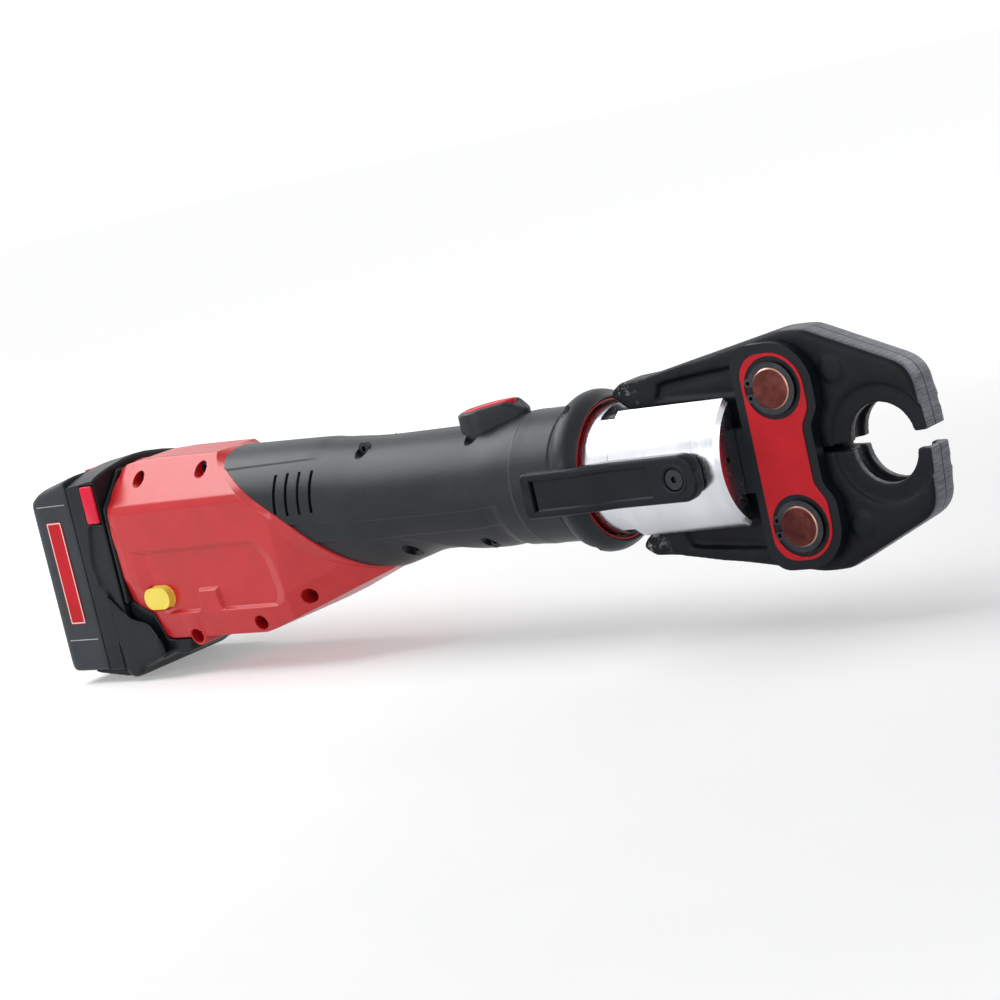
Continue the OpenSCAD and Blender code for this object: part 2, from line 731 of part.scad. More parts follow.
module roller_yoke() {
    cheek_r = roller_r - 2;
    color("#8d9096") difference() {
        union() {
            rod_x(x_yoke + seat, x_yoke + yoke_block, yoke_r);
            intersection() {
                both_sides() plate_y(-cheek_in - cheek_t, -cheek_in) union() {
                    for (s = [-1, 1]) translate([x_roller, s * roller_off]) circle(r = cheek_r);
                    translate([x_yoke + yoke_block - 1, -roller_off - cheek_r])
                        square([x_roller - x_yoke - yoke_block + 1, 2 * (roller_off + cheek_r)]);
                    translate([x_roller - 1, -roller_off]) square([cheek_r - 2, 2 * roller_off]);
                }
                rod_x(x_yoke, x_roller + deep, yoke_r);
            }
        }
        for (s = [-1, 1]) rod_y(-deep, deep, axle_r + run / 2, x_roller, s * roller_off);
    }
}
module roller_axles() {
    color("silver") for (s = [-1, 1])
        rod_y(-cheek_in - cheek_t + 0.3, cheek_in + cheek_t - 0.3, axle_r, x_roller, s * roller_off);
}
module roller() {
    difference() {
        rod_y(-roller_len / 2, roller_len / 2, roller_r, x_roller, roller_off);
        rod_y(-deep, deep, axle_r + run, x_roller, roller_off);
    }
}
module upper_roller() {
    color("#a7abb1") roller();
}
module lower_roller() {
    color("#a7abb1") mirror([0, 0, 1]) roller();
}
module press_cylinder() {
    color("#6f747a") difference() {
        rod_x(x_cyl_rear, x_cyl, cyl_r);
        rod_x(x_bore_rear, x_gland, cyl_bore_r);
        rod_x(x_gland - 1, x_cyl + 1, rod_r + run);
    }
}

// Swivel bush, collar and ring
module swivel_bush() {
    color("#b58a3c") difference() {
        tube_x(x_bush_rear, x_bush_front, bush_r, neck_r + run);
        collar_screw_set(bush_r - 2 - seat, collar_screw_r + run);
    }
}
collar_screw_x = x_collar - 14;
module collar_screw_set(from, r, to = collar_r + 5) {
    for (a = [collar_screw_deg, 180 - collar_screw_deg, 180 + collar_screw_deg, -collar_screw_deg])
        translate([collar_screw_x, 0, 0]) rotate([a - 90, 0, 0]) translate([0, 0, from])
            cylinder(h = to - from, r = r);
}
module front_collar() {
    spigot_r = grip_in - seat;
    color("#1b1d20") difference() {
        turned([[x_collar, ring_r + seat], [x_collar, ring_r + 2.6],
                [x_collar - 1.5, ring_r + 4], [x_collar - 10, collar_r], [x_collar - 28, collar_r],
                [x_handle + seat, handle_front_r + 0.3], [x_handle + seat, spigot_r], [x_spigot, spigot_r],
                [x_spigot, spigot_r - 3], [x_collar_wall - collar_wall, spigot_r - 3],
                [x_collar_wall - collar_wall, cyl_r + run], [x_collar_wall, cyl_r + run],
                [x_collar_wall, bush_r + run], [x_bush_front, bush_r + run], [x_bush_front, ring_r + seat]]);
        collar_screw_set(0, collar_screw_r + run);
        collar_screw_set(collar_r - 1, collar_screw_r + 1);
    }
}
module collar_ring() {
    color("#c8141c") tube_x(x_collar - ring_depth, x_collar - 0.4, ring_r, neck_r + slip);
}
module collar_screws() {
    color("#17181a") difference() {
        collar_screw_set(bush_r - 2, collar_screw_r, collar_r - 1.2);
        collar_screw_set(collar_r - 2.6, 0.9);
    }
}

// Handle shells
x_grip_front = x_handle - 16.8;
x_grip_rear = x_grip_front - grip_len;
module handle_form(d) {
    turned([[x_handle_rear - d, 0], [x_handle_rear - d, handle_rear_r - d],
            [x_grip_rear - 45, handle_r + 1.2 - d], [x_grip_rear, handle_r - d],
            [x_grip_front, handle_r - d],
            [x_handle - 7, handle_r + 0.6 - d], [x_handle + d, handle_front_r - d], [x_handle + d, 0]]);
}
// Line between the black handle and the red housing, from the top down
x_lip = x_handle_rear + 8;
x_toe = x_grip_rear + 12;
lip_line = [[x_lip, 60], [x_lip, housing_top], [x_lip + 6, 27], [x_lip + 24, 15.5], [x_lip + 45, 0.5],
            [x_toe - 25, -26], [x_toe - 16, -31.5], [x_toe, -32.5], [x_toe, -90]];
module red_zone() {
    plate_y(-deep, deep) polygon(concat(lip_line, [[x_battery, -90], [x_battery, 60]]));
}
module black_zone() {
    plate_y(-deep, deep) polygon(concat([for (p = lip_line) p + [seat, 0]],
        [[x_collar, -90], [x_collar, 60]]));
}
toe_z = -35;
module gusset() {
    plate_y(-12, 12) polygon([[x_toe + seat, -handle_r + 3], [x_toe + seat, toe_z],
                              [x_toe + 20, -handle_r + 1.2], [x_toe + 26, -handle_r + 3]]);
}
module vents() {
    x_vent = x_grip_rear - 48;
    for (i = [0:vent_count - 1]) box(x_vent + i * vent_pitch, x_vent + i * vent_pitch + vent_w,
        -deep, -handle_r / 2, 0, vent_h);
}
// Shell screws: station, height and head seat from the middle plane
handle_screw_z = handle_r - 5;
handle_screws = [[x_grip_rear + 6, handle_screw_z, 11], [x_grip_front - 15, handle_screw_z - 2.5, 11],
                 [x_grip_rear + 26, -handle_screw_z, 11], [x_grip_front - 16, -handle_screw_z, 11]];
lug_x = x_handle_rear - 27;
lug_z = -housing_drop + 1.5;
rear_screws = [[x_housing + 19, 27, 14], [x_handle_rear - 5, 28, 14], [lug_x, lug_z, 14],
               [x_handle_rear + 23.5, -housing_drop + 6, 14],
               [x_handle_rear + 59, -44, 14]];
screw_reach = 13;
module screw_bosses(screws) {
    for (s = screws) rod_y(-deep, 0, screw_boss_r, s[0], s[1]);
}
module screw_holes(screws, side) {
    for (s = screws) {
        rod_y(-deep, 1, side < 0 ? screw_d / 2 + 0.3 : screw_d / 2 + run, s[0], s[1]);
        if (side < 0) rod_y(-deep, -s[2], screw_head_d / 2 + 0.3, s[0], s[1]);
    }
}
module handle_shell(side) {
    difference() {
        near_half() difference() {
            union() {
                intersection() {
                    handle_form(0);
                    black_zone();
                }
                gusset();
            }
            difference() {
                handle_form(handle_wall);
                screw_bosses(handle_screws);
            }
            rod_x(x_spigot - 1, x_handle + 1, grip_in);
        }
        rod_z(handle_r - 8, handle_r + 1, 2 + slip, switch_x);
        vents();
        screw_holes(handle_screws, side);
    }
}
module handle_shell_near() {
    color("#23262a") handle_shell(-1);
}
module handle_shell_far() {
    color("#23262a") far_side() handle_shell(1);
}
module screw(s) {
    head = 3;
    difference() {
        union() {
            rod_y(-s[2] - head, -s[2] - seat, screw_head_d / 2, s[0], s[1]);
            rod_y(-s[2] - seat - eps, screw_reach, screw_d / 2, s[0], s[1]);
        }
        translate([s[0], -s[2] - head - 1, s[1]]) rotate([-90, 0, 0]) cylinder(h = 2.6, r = 1.5, $fn = 6);
    }
}
module housing_screws() {
    color("#4a4d52") for (s = concat(handle_screws, rear_screws)) screw(s);
}

// Rear housing
notch_x = x_housing + 13.7;
notch_z = -46.5;
foot_x = x_housing + 20;
housing_side = rounded([
    [x_housing, 36, 6], [x_housing, -39, 6], [notch_x, notch_z, 4], [foot_x, -housing_drop, 6],
    [x_handle_rear + 24, -housing_drop, 8], [x_toe, toe_z, 0], [x_toe, 32, 0],
    [x_handle_rear + 9, housing_top - 2.5, 0], [x_handle_rear - 38, housing_top, 20]]);
module housing_section(d) {
    polygon(inset(rounded([
        [-housing_w / 2 + 5, -housing_drop - 3, 6], [housing_w / 2 - 5, -housing_drop - 3, 6],
        [housing_w / 2, -housing_drop + 14, 8], [housing_w / 2, shoulder_z, 8],
        [housing_top_w / 2, housing_top, 10], [-housing_top_w / 2, housing_top, 10],
        [-housing_w / 2, shoulder_z, 8], [-housing_w / 2, -housing_drop + 14, 8]]), d));
}
module housing_form(d) {
    intersection() {
        plate_y(-deep, deep) polygon(inset(housing_side, d));
        plate_x(x_housing - 1, x_toe + 1) housing_section(d);
        plate_z(-deep, deep) polygon(inset([
            [x_housing - deep, -housing_w / 2 - 1], [x_handle_rear + 48, -housing_w / 2 - 1],
            [x_toe + 1, -toe_w / 2], [x_toe + 1, toe_w / 2],
            [x_handle_rear + 48, housing_w / 2 + 1], [x_housing - deep, housing_w / 2 + 1]], d));
    }
}
module rear_opening() {
    box(x_housing - 5, x_housing + 8, -housing_w / 2 + 7, housing_w / 2 - 7, -34, 26);
}
panel_x = x_handle_rear + 46;
module side_panel() {
    y_face = housing_w / 2;
    plate_y(-deep, -y_face + panel_depth) polygon(rounded([
        [x_housing + 10, -10, 3], [x_housing + 14, -32, 3], [x_housing + 28, -46.5, 2],
        [x_housing + 54, -46.5, 0], [x_housing + 56, -36, 1.5], [x_housing + 66, -36, 1.5],
        [x_housing + 69, -46.5, 0], [panel_x, -46, 5], [panel_x - 4, -13, 5]]));
}
release_x = x_housing + 24;
release_z = -37.5;
rod_at_z = -34;
rod_at_y = -12;
module rear_shell() {
    difference() {
        intersection() {
            union() {
                housing_form(0);
                handle_form(-lip_proud);
            }
            red_zone();
        }
        housing_form(housing_wall);
        handle_form(handle_wall);
        rear_opening();
    }
    intersection() {
        screw_bosses(rear_screws);
        housing_form(housing_wall / 2);
    }
    rod_y(-housing_w / 2 + 7, 0, 6, lug_x, lug_z);
}
module rear_housing(side) {
    difference() {
        near_half() rear_shell();
        side_panel();
        if (side < 0) plate_y(-deep, -housing_w / 4)
            translate([release_x, release_z]) stadium(release_len + 2 * slip, release_w + 2 * slip);
        screw_holes(rear_screws, side);
    }
}
module rear_housing_near() {
    color("#b3161d") rear_housing(-1);
}
module rear_housing_far() {
    color("#b3161d") far_side() rear_housing(1);
}

// Start button and its surround on top of the grip
start_x = x_grip_front - 13;
switch_len = 12;
switch_x = x_spigot - switch_len / 2 - slip;
surround_top = handle_r + surround_h;
flange_top = handle_r + start_travel + 2;
module button_surround() {
    color("#1d1f22") difference() {
        plate_z(0, surround_top) translate([start_x, 0]) stadium(surround_len, surround_w);
        handle_form(-seat);
        plate_z(0, flange_top + slip) translate([start_x, 0])
            stadium(start_len + 3 + 2 * slip, start_w + 3 + 2 * slip);
        plate_z(0, deep) translate([start_x, 0]) stadium(start_len + 2 * slip, start_w + 2 * slip);
    }
}
module start_button() {
    color("#c8141c") {
        plate_z(flange_top - eps, surround_top + 2) translate([start_x, 0]) stadium(start_len, start_w);
        plate_z(flange_top - 1.5, flange_top) translate([start_x, 0]) stadium(start_len + 3, start_w + 3);
    }
}
module start_switch() {
    color("#2f3338") {
        box(switch_x - switch_len / 2, switch_x + switch_len / 2, -5, 5, cyl_r + seat, grip_in - 1.5);
        rod_z(grip_in - 2, handle_r + 0.15, 2, switch_x);
    }
}

// Pressure release: button, rod and valve
module release_button() {
    face = housing_w / 2;
    inner = -face + housing_wall + slip;
    color("#e8c62c") {
        plate_y(-face - 1, inner + eps) translate([release_x, release_z]) stadium(release_len, release_w);
        plate_y(inner, inner + 1.5) translate([release_x, release_z])
            stadium(release_len + 3, release_w + 3);
        difference() {
            rod_y(inner + 1, 0, 3, release_x, rod_at_z);
            wedge(-seat);
        }
    }
}
// Half space in front of the sloping face between the button's stem and the rod
module wedge(gap) {
    plate_z(-deep, deep) polygon([
        [release_x - deep, rod_at_y + deep + gap], [release_x + deep, rod_at_y - deep + gap],
        [release_x + deep, rod_at_y + deep]]);
}
x_rod_end = x_pump - 0.7 - release_travel;
module release_rod() {
    color("silver") intersection() {
        rod_x(release_x - 8, x_rod_end, 2, rod_at_y, rod_at_z);
        wedge(seat);
    }
}
module release_valve() {
    color("#b08d3f") rod_x(x_pump - 0.2, x_pump + 8, 3, rod_at_y, rod_at_z);
}

// Pump, gears and motor
module pump_block() {
    color("#7d8288") difference() {
        union() {
            rod_x(x_pump, x_pump + pump_len, pump_r);
            rod_x(x_pump, x_pump + 10.5, 5, rod_at_y, rod_at_z);
            box(x_pump, x_pump + 10.5, rod_at_y - 4, rod_at_y + 4, rod_at_z, -14);
        }
        rod_x(x_pump - 1, x_pump + 10, 5 + run);
        rod_x(x_pump - 1, x_pump + 8.5, 3 + run, rod_at_y, rod_at_z);
    }
}
module oil_reservoir() {
    color("#33363a") tube_x(x_cyl_rear + 3, x_cyl_rear + 3 + reservoir_len,
        cyl_r + reservoir_t, cyl_r + seat);
}
x_teeth = x_gearbox + 5.5;
ring_out = gearbox_r - 2.5;
x_carrier = x_teeth + gear_len + 1;
x_ecc = x_carrier + 8;
ecc_len = 6.5;
ecc_r = 7.5;
chamber_r = 12;
journal_r = 6;
nose_r = 5;
module gearbox_housing() {
    guide = x_gearbox + 12;
    color("#5d6268") difference() {
        union() {
            rod_x(x_gearbox, x_gearbox + gearbox_len, gearbox_r);
            box(guide, guide + 5, rod_at_y - 4, rod_at_y + 4, rod_at_z - 4, -18);
        }
        rod_x(x_gearbox - 1, x_carrier + 3.5, ring_out + run);
        rod_x(x_carrier + 3, x_ecc, journal_r + run);
        rod_x(x_ecc - 1.5, x_ecc + ecc_len + 1.5, chamber_r);
        rod_x(x_ecc, x_gearbox + gearbox_len + 1, nose_r + run);
        rod_z(0, deep, plunger_r + run, x_ecc + ecc_len / 2);
        rod_x(guide - 1, guide + 6, 2 + run, rod_at_y, rod_at_z);
    }
}
sun_teeth = 12;
planet_teeth = 18;
ring_teeth = sun_teeth + 2 * planet_teeth;
planet_at = (sun_teeth + planet_teeth) * gear_m / 2;
tooth_tip = 0.62 * gear_m;
tooth_root = 0.95 * gear_m;
tooth_play = 0.12;
planet_pin_r = 2;
module ring_gear() {
    color("#8a8f96") difference() {
        rod_x(x_teeth - 0.5, x_teeth + gear_len + 0.5, ring_out);
        plate_x(x_teeth - 1, x_teeth + gear_len + 1) rotate(180 / ring_teeth)
            polygon(gear_outline(ring_teeth, gear_m, -tooth_play, tooth_root, tooth_tip));
    }
}
module planet_gear(k) {
    turn = 90 + 120 * k;
    color("#a7abb1") difference() {
        translate([0, planet_at * cos(turn), planet_at * sin(turn)]) plate_x(x_teeth, x_teeth + gear_len)
            rotate(turn + 180 + 180 / planet_teeth)
                polygon(gear_outline(planet_teeth, gear_m, tooth_play, tooth_tip, tooth_root));
        rod_x(x_teeth - 1, x_teeth + gear_len + 1, planet_pin_r + run,
              planet_at * cos(turn), planet_at * sin(turn));
    }
}
module planet_gear_a() {
    planet_gear(0);
}
module planet_gear_b() {
    planet_gear(1);
}
module planet_gear_c() {
    planet_gear(2);
}
module eccentric_shaft() {
    color("silver") {
        rod_x(x_carrier, x_carrier + 3, planet_at + 4);
        for (k = [0:2]) rod_x(x_teeth - 0.3, x_carrier + eps, planet_pin_r,
            planet_at * cos(90 + 120 * k), planet_at * sin(90 + 120 * k));
        rod_x(x_carrier + 3 - eps, x_ecc - 1, journal_r);
        rod_x(x_ecc - 1 - eps, x_ecc + eps, nose_r);
        rod_x(x_ecc, x_ecc + ecc_len, ecc_r, 0, throw);
        rod_x(x_ecc + ecc_len - eps, x_pump + 9.5, nose_r);
    }
}
plunger_r = 3.5;
module pump_plunger() {
    color("silver") rod_z(ecc_r + throw + slip, gearbox_r - 1, plunger_r, x_ecc + ecc_len / 2);
}
module motor_can() {
    color("#50555b") difference() {
        rod_x(x_motor, x_motor + motor_len, motor_r);
        rod_x(x_motor + 3, x_motor + motor_len - 3, motor_r - 2);
        rod_x(x_motor - 1, x_motor + motor_len + 1, shaft_r + run);
    }
}
module motor_rotor() {
    color("#7b5a3a") {
        rod_x(x_motor + 1, x_teeth + gear_len + 0.3, shaft_r);
        rod_x(x_motor + 10, x_motor + motor_len - 10, rotor_r);
        plate_x(x_teeth - 0.3, x_teeth + gear_len + 0.3)
            polygon(gear_outline(sun_teeth, gear_m, tooth_play, tooth_tip, tooth_root));
    }
}

// Dock behind the rear housing
dock_front = x_housing - 0.5;
rim_t = 2.3;
standoff = 5;
keel_top = -60.5;
keel_y = dock_w / 2 + 3;
rail_x = dock_front - rim_t - 6;
rail_w = 4;
rail_depth = 3.1;
blade_z = [-20, -8];
blade_y = [-12, -4, 4, 12];
blade_t = 0.8;
board_z = [-34, 14];
keel_low = [[x_dock, -dock_drop], [x_dock + 10, -dock_drop + 2], [x_dock + 15.5, -75.5],
            [x_dock + 34.5, -70]];
flank_low = [[x_dock, -dock_drop + 4.5, 0], [x_dock + 4.5, -dock_drop + 1.4, 4],
             [x_dock + 10.5, -dock_drop + 2.6, 4], [x_dock + 15.8, -75.2, 3], [x_dock + 34.5, -69.5, 1]];
flank_edge = [[x_dock + 31.5, -58, 8], [x_dock + 27, -51, 8], [x_dock + 14, -47, 12],
              [x_dock + 4, -38.5, 12], [x_dock, -32, 0]];
module dock_core() {
    plate_y(-dock_w / 2, dock_w / 2) polygon([
        [x_dock, 5.5], each keel_low, [x_dock + 44, -71], [lug_x - 8, -69],
        [lug_x - 6.6, -housing_drop - 0.5],
        [foot_x, -housing_drop - 0.5], [foot_x - 0.6, -housing_drop], [notch_x - 0.4, notch_z - 0.4],
        [dock_front, -39.3], [dock_front, 5.5]]);
}
module dock_keel() {
    intersection() {
        plate_y(-keel_y, keel_y) polygon([
            [x_dock, keel_top], each keel_low, [x_dock + 34.5, keel_top - 3], [x_dock + 22, keel_top]]);
        box(x_dock - 1, foot_x - 6, -deep, deep, -dock_drop - 1, keel_top);
    }
}
// Flanks outside the battery's skirts, joined to the keel below them
module dock_flanks() {
    both_sides() difference() {
        plate_y(-cover_y, -keel_y + 0.1) polygon(rounded(concat(flank_low, flank_edge)));
        box(x_dock - 1, deep, -skirt_out - slip, deep, keel_top, deep);
    }
}
// Shelf under the battery
module dock_shelf() {
    top = -battery_drop - slip;
    plate_y(-dock_w / 2, dock_w / 2) polygon([
        [x_dock + 1, top], [x_dock - shelf_len, top], [x_dock - shelf_len + 2, top - 2.5],
        [x_dock - 8, -dock_drop + 0.8], [x_dock + 1, -dock_drop + 0.8]]);
}
module battery_dock() {
    color("#17181b") difference() {
        union() {
            dock_core();
            dock_keel();
            dock_flanks();
            dock_shelf();
            intersection() {
                plate_x(dock_front - rim_t, dock_front) housing_section(0);
                box(x_dock, dock_front, -deep, deep, -39.3, 36);
            }
            for (s = [-1, 1], z = board_z)
                rod_x(dock_front - eps, dock_front + standoff, 3, s * 21, z + (z < 0 ? 6 : -6));
        }
        box(x_dock + 3, dock_front + 1, -18, 18, -34, 2);
        both_sides() box(rail_x, rail_x + rail_w, -skirt_out - slip, -dock_w / 2 + rail_depth,
                         keel_top, deep);
        for (y = blade_y) box(x_dock - 1, x_dock + 4, y - blade_t / 2 - run, y + blade_t / 2 + run,
                              blade_z[0] - run, blade_z[1] + run);
    }
}
module dock_contacts() {
    color("#b8862f") for (y = blade_y)
        box(x_dock - 4, x_dock + 9, y - blade_t / 2, y + blade_t / 2, blade_z[0], blade_z[1]);
}
module control_board() {
    face = dock_front + standoff + seat;
    color("#1f5c3a") {
        box(face, face + board_t, -board_w / 2, board_w / 2, board_z[0], board_z[1]);
        for (y = [-board_w / 4, board_w / 8]) box(face + board_t - 0.1, face + 8, y, y + 7, -28, -10);
        rod_x(face + board_t - 0.1, face + 12, 5, 0, 4);
    }
}

// Battery pack
bat_y = battery_w / 2;
cover_y = bat_y - 0.4;
ext_x = dock_front - rim_t - slip;
ext_z = 5.5 + slip;
function top_z(x) = battery_top - 2.6 * (ext_x - x) / (ext_x - x_seam)
    - (x < x_seam ? 0.11 * (x_seam - x) : 0);
case_side = rounded([
    [x_battery, top_z(x_battery) - 4, 6], [x_battery, -battery_drop, 5], [x_seam - seat, -battery_drop, 0],
    [x_seam - seat, top_z(x_seam), 0], [x_battery + 9, top_z(x_battery + 9), 6]]);
module case_form(d) {
    intersection() {
        plate_y(-deep, deep) polygon(inset(case_side, d));
        plate_z(-deep, deep) polygon(inset(rounded([
            [x_battery, -bat_y, 5], [x_seam + deep, -bat_y, 0],
            [x_seam + deep, bat_y, 0], [x_battery, bat_y, 5]]), d));
    }
}
charge_x = x_seam - 9;
charge_len = 10;
charge_w = 12;
charge_travel = 1;
window_x = x_seam - 24;
window_y = -17;
module case_window(gap) {
    box(window_x - 5 - gap, window_x + 5 + gap, window_y - 7 - gap, window_y + 7 + gap,
        top_z(window_x) - 5.5, top_z(window_x) + 4);
}
module battery_case() {
    color("#26292c") difference() {
        case_form(0);
        case_form(battery_wall);
        box(x_battery + 8, x_seam + 1, -bat_y + battery_wall, bat_y - battery_wall,
            -battery_drop + battery_wall, top_z(x_battery) - 4);
        box(x_seam - 8, x_seam + 1, -bat_y + battery_wall, bat_y - battery_wall,
            -battery_drop + battery_wall, top_z(x_seam - 8) - battery_wall);
        case_window(seat);
        plate_z(0, deep) translate([charge_x, 0])
            square([charge_len + 2 * slip, charge_w + 2 * slip], center = true);
    }
}
module charge_window() {
    color("#9aa0a6") difference() {
        intersection() {
            case_window(0);
            case_form(0.3);
        }
        case_form(battery_wall);
    }
}
module charge_button() {
    low = top_z(charge_x - charge_len / 2 - 1) - 1.2 * battery_wall - slip;
    color("#c8141c") {
        plate_z(low - eps, top_z(charge_x) + 0.8) translate([charge_x, 0])
            square([charge_len, charge_w], center = true);
        plate_z(low - 1.4, low) translate([charge_x, 0])
            square([charge_len + 2, charge_w + 3], center = true);
    }
}
module cover_outline() {
    polygon([[x_seam, -battery_drop], [x_cover, -battery_drop], [x_cover, ext_z], [ext_x, ext_z],
             [ext_x, battery_top], [x_seam, top_z(x_seam)]]);
}
latch_z = [ext_z + 4, ext_z + 21];
latch_x = [x_cover + 1.2, ext_x - 3.6];
skirt_in = dock_w / 2 + slip;
skirt_out = cover_y - 1.6;
module battery_cover() {
    color("#1b1d20") difference() {
        union() {
            plate_y(-cover_y, cover_y) cover_outline();
            both_sides() {
                box(x_cover - 1, ext_x - 1.5, -skirt_out, -skirt_in, keel_top + slip, ext_z + 1);
                box(rail_x + slip, rail_x + rail_w - slip, -skirt_in - 1, -dock_w / 2 + rail_depth - slip,
                    keel_top + slip, ext_z + 1);
            }
        }
        box(x_seam - 1, x_cover - battery_wall, -cover_y + battery_wall, cover_y - battery_wall,
            -battery_drop + battery_wall, top_z(x_seam) - battery_wall);
        box(x_cover - battery_wall - 1, ext_x - 2, -cover_y + battery_wall, cover_y - battery_wall,
            ext_z + 2, battery_top - 4.5);
        both_sides() box(latch_x[0] - slip, latch_x[1] + slip, -deep, -cover_y + battery_wall + 1,
                         latch_z[0] - slip, latch_z[1] + slip);
        for (y = blade_y) box(x_cover - 4, x_cover + 1, y - blade_t / 2 - slip, y + blade_t / 2 + slip,
                              -deep, blade_z[1] + slip);
    }
}
module battery_release() {
    face = -cover_y;
    inner = face + battery_wall + slip;
    color("#c8141c") {
        box(latch_x[0], latch_x[1], face - 1, inner + eps, latch_z[0], latch_z[1]);
        box(latch_x[0] - 1.2, latch_x[1] + 1.2, inner, inner + 1.5, latch_z[0] - 1.2, latch_z[1] + 1.2);
    }
}
module battery_release_near() {
    battery_release();
}
module battery_release_far() {
    far_side() battery_release();
}
module battery_label() {
    rear = x_battery + pack_label_in;
    front = rear + pack_label_w;
    low = pack_label_top - pack_label_len;
    color("#c8141c") both_sides() plate_y(-bat_y - label_t, -bat_y) polygon(rounded([
        [rear, low, 2], [front, low, 2], [front, pack_label_top, 2], [rear, pack_label_top, 2]]));
}
cell_pitch = cell_d + 0.25;
module battery_cells() {
    x_first = x_battery + battery_wall + seat + cell_d / 2;
    z_mid = -battery_drop + battery_wall + seat + 2 * cell_pitch + cell_d / 2;
    color("#3f6ea8") for (i = [0:1], k = [-2:2])
        rod_y(-cell_len / 2, cell_len / 2, cell_d / 2, x_first + i * cell_pitch, z_mid + k * cell_pitch);
}
module battery_terminals() {
    color("#b8862f") for (y = blade_y)
        box(x_cover - battery_wall - 1.8, x_cover - battery_wall - seat,
            y + blade_t / 2 + slip, y + 2.6, -24, -6);
}

fork_head();
head_circlip();
side_plate_near();
side_plate_far();
plate_labels();
jaw_pin_upper();
jaw_pin_lower();
pin_circlips();
jaw_spring();
upper_jaw();
lower_jaw();
locking_pin();
pin_lever();
lever_screw();
piston();
piston_seal();
return_spring();
roller_yoke();
roller_axles();
upper_roller();
lower_roller();
press_cylinder();
swivel_bush();
front_collar();
collar_ring();
collar_screws();
handle_shell_near();
handle_shell_far();
rear_housing_near();
rear_housing_far();
housing_screws();
button_surround();
start_button();
start_switch();
release_button();
release_rod();
release_valve();
pump_block();
oil_reservoir();
pump_plunger();
gearbox_housing();
ring_gear();
planet_gear_a();
planet_gear_b();
planet_gear_c();
eccentric_shaft();
motor_can();
motor_rotor();
control_board();
battery_dock();
dock_contacts();
battery_case();
battery_cover();
battery_label();
charge_window();
charge_button();
battery_release_near();
battery_release_far();
battery_cells();
battery_terminals();
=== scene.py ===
"""Looks of the battery press tool: shaped shells, finishes, light and the photo's camera."""

import json
import math

import bmesh
import bpy
import numpy as np
from mathutils import Matrix, Vector


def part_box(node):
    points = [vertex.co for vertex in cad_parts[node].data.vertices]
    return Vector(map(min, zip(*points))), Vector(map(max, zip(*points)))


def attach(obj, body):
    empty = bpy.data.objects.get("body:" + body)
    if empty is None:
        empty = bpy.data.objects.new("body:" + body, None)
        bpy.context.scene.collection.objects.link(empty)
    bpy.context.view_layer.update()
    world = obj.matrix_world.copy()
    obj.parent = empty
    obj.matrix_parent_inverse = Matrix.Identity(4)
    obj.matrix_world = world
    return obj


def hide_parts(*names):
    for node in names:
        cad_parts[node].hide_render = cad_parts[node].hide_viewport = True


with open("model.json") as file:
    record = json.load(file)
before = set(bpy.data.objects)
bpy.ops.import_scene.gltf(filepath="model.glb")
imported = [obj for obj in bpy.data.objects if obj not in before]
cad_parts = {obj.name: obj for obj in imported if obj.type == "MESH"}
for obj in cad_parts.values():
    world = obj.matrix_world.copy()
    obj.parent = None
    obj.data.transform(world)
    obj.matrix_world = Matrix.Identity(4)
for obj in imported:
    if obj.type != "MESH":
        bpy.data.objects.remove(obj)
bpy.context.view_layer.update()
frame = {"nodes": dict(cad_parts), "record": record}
NODES = frame["nodes"]
MM = 0.001


# Shader maths
class Value:
    """A shader socket that takes part in ordinary arithmetic."""

    def __init__(self, nodes, socket):
        self.nodes = nodes
        self.socket = socket

    def math(self, kind, *terms):
        node = self.nodes.node("ShaderNodeMath", {"operation": kind}, dict(enumerate(terms)))
        return Value(self.nodes, node.outputs[0])

    def __add__(self, other):
        return self.math("ADD", self, other)

    def __radd__(self, other):
        return self.math("ADD", other, self)

    def __sub__(self, other):
        return self.math("SUBTRACT", self, other)

    def __rsub__(self, other):
        return self.math("SUBTRACT", other, self)

    def __mul__(self, other):
        return self.math("MULTIPLY", self, other)

    def __rmul__(self, other):
        return self.math("MULTIPLY", other, self)

    def __pow__(self, other):
        return self.math("POWER", self, other)

    def abs(self):
        return self.math("ABSOLUTE", self)

    def most(self, other):
        return self.math("MAXIMUM", self, other)

    def least(self, other):
        return self.math("MINIMUM", self, other)

    def step(self, low, high):
        """0 below low, 1 above high, smooth between."""
        sockets = {"Value": self, "From Min": low, "From Max": high}
        node = self.nodes.node("ShaderNodeMapRange", {"interpolation_type": "SMOOTHSTEP"}, sockets)
        return Value(self.nodes, node.outputs["Result"])


class Nodes:
    """A node tree, filled by one method."""

    def __init__(self, tree):
        self.tree = tree
        self.tree.nodes.clear()

    def node(self, kind, settings=None, sockets=None):
        """A node of one kind: its settings come first, then the values or links of its sockets."""
        node = self.tree.nodes.new(kind)
        for key, value in (settings or {}).items():
            setattr(node, key, value)
        for key, value in (sockets or {}).items():
            self.feed(node.inputs[key], value)
        return node

    def feed(self, slot, value):
        if isinstance(value, Value):
            self.tree.links.new(value.socket, slot)
        elif isinstance(value, bpy.types.NodeSocket):
            self.tree.links.new(value, slot)
        elif isinstance(value, tuple) and slot.type == "RGBA":
            slot.default_value = (*value, 1.0)
        else:
            slot.default_value = value

    def mix(self, amount, a, b):
        """Colour a where amount is 0, colour b where it is 1."""
        node = self.node("ShaderNodeMix", {"data_type": "RGBA"}, {0: amount, 6: a, 7: b})
        return node.outputs[2]

    def seen(self):
        """1 on rays that show the background: to the camera, in a gloss and through glass."""
        path = self.node("ShaderNodeLightPath").outputs
        camera = Value(self, path["Is Camera Ray"])
        return camera.most(Value(self, path["Is Glossy Ray"])).most(Value(self, path["Is Transmission Ray"]))


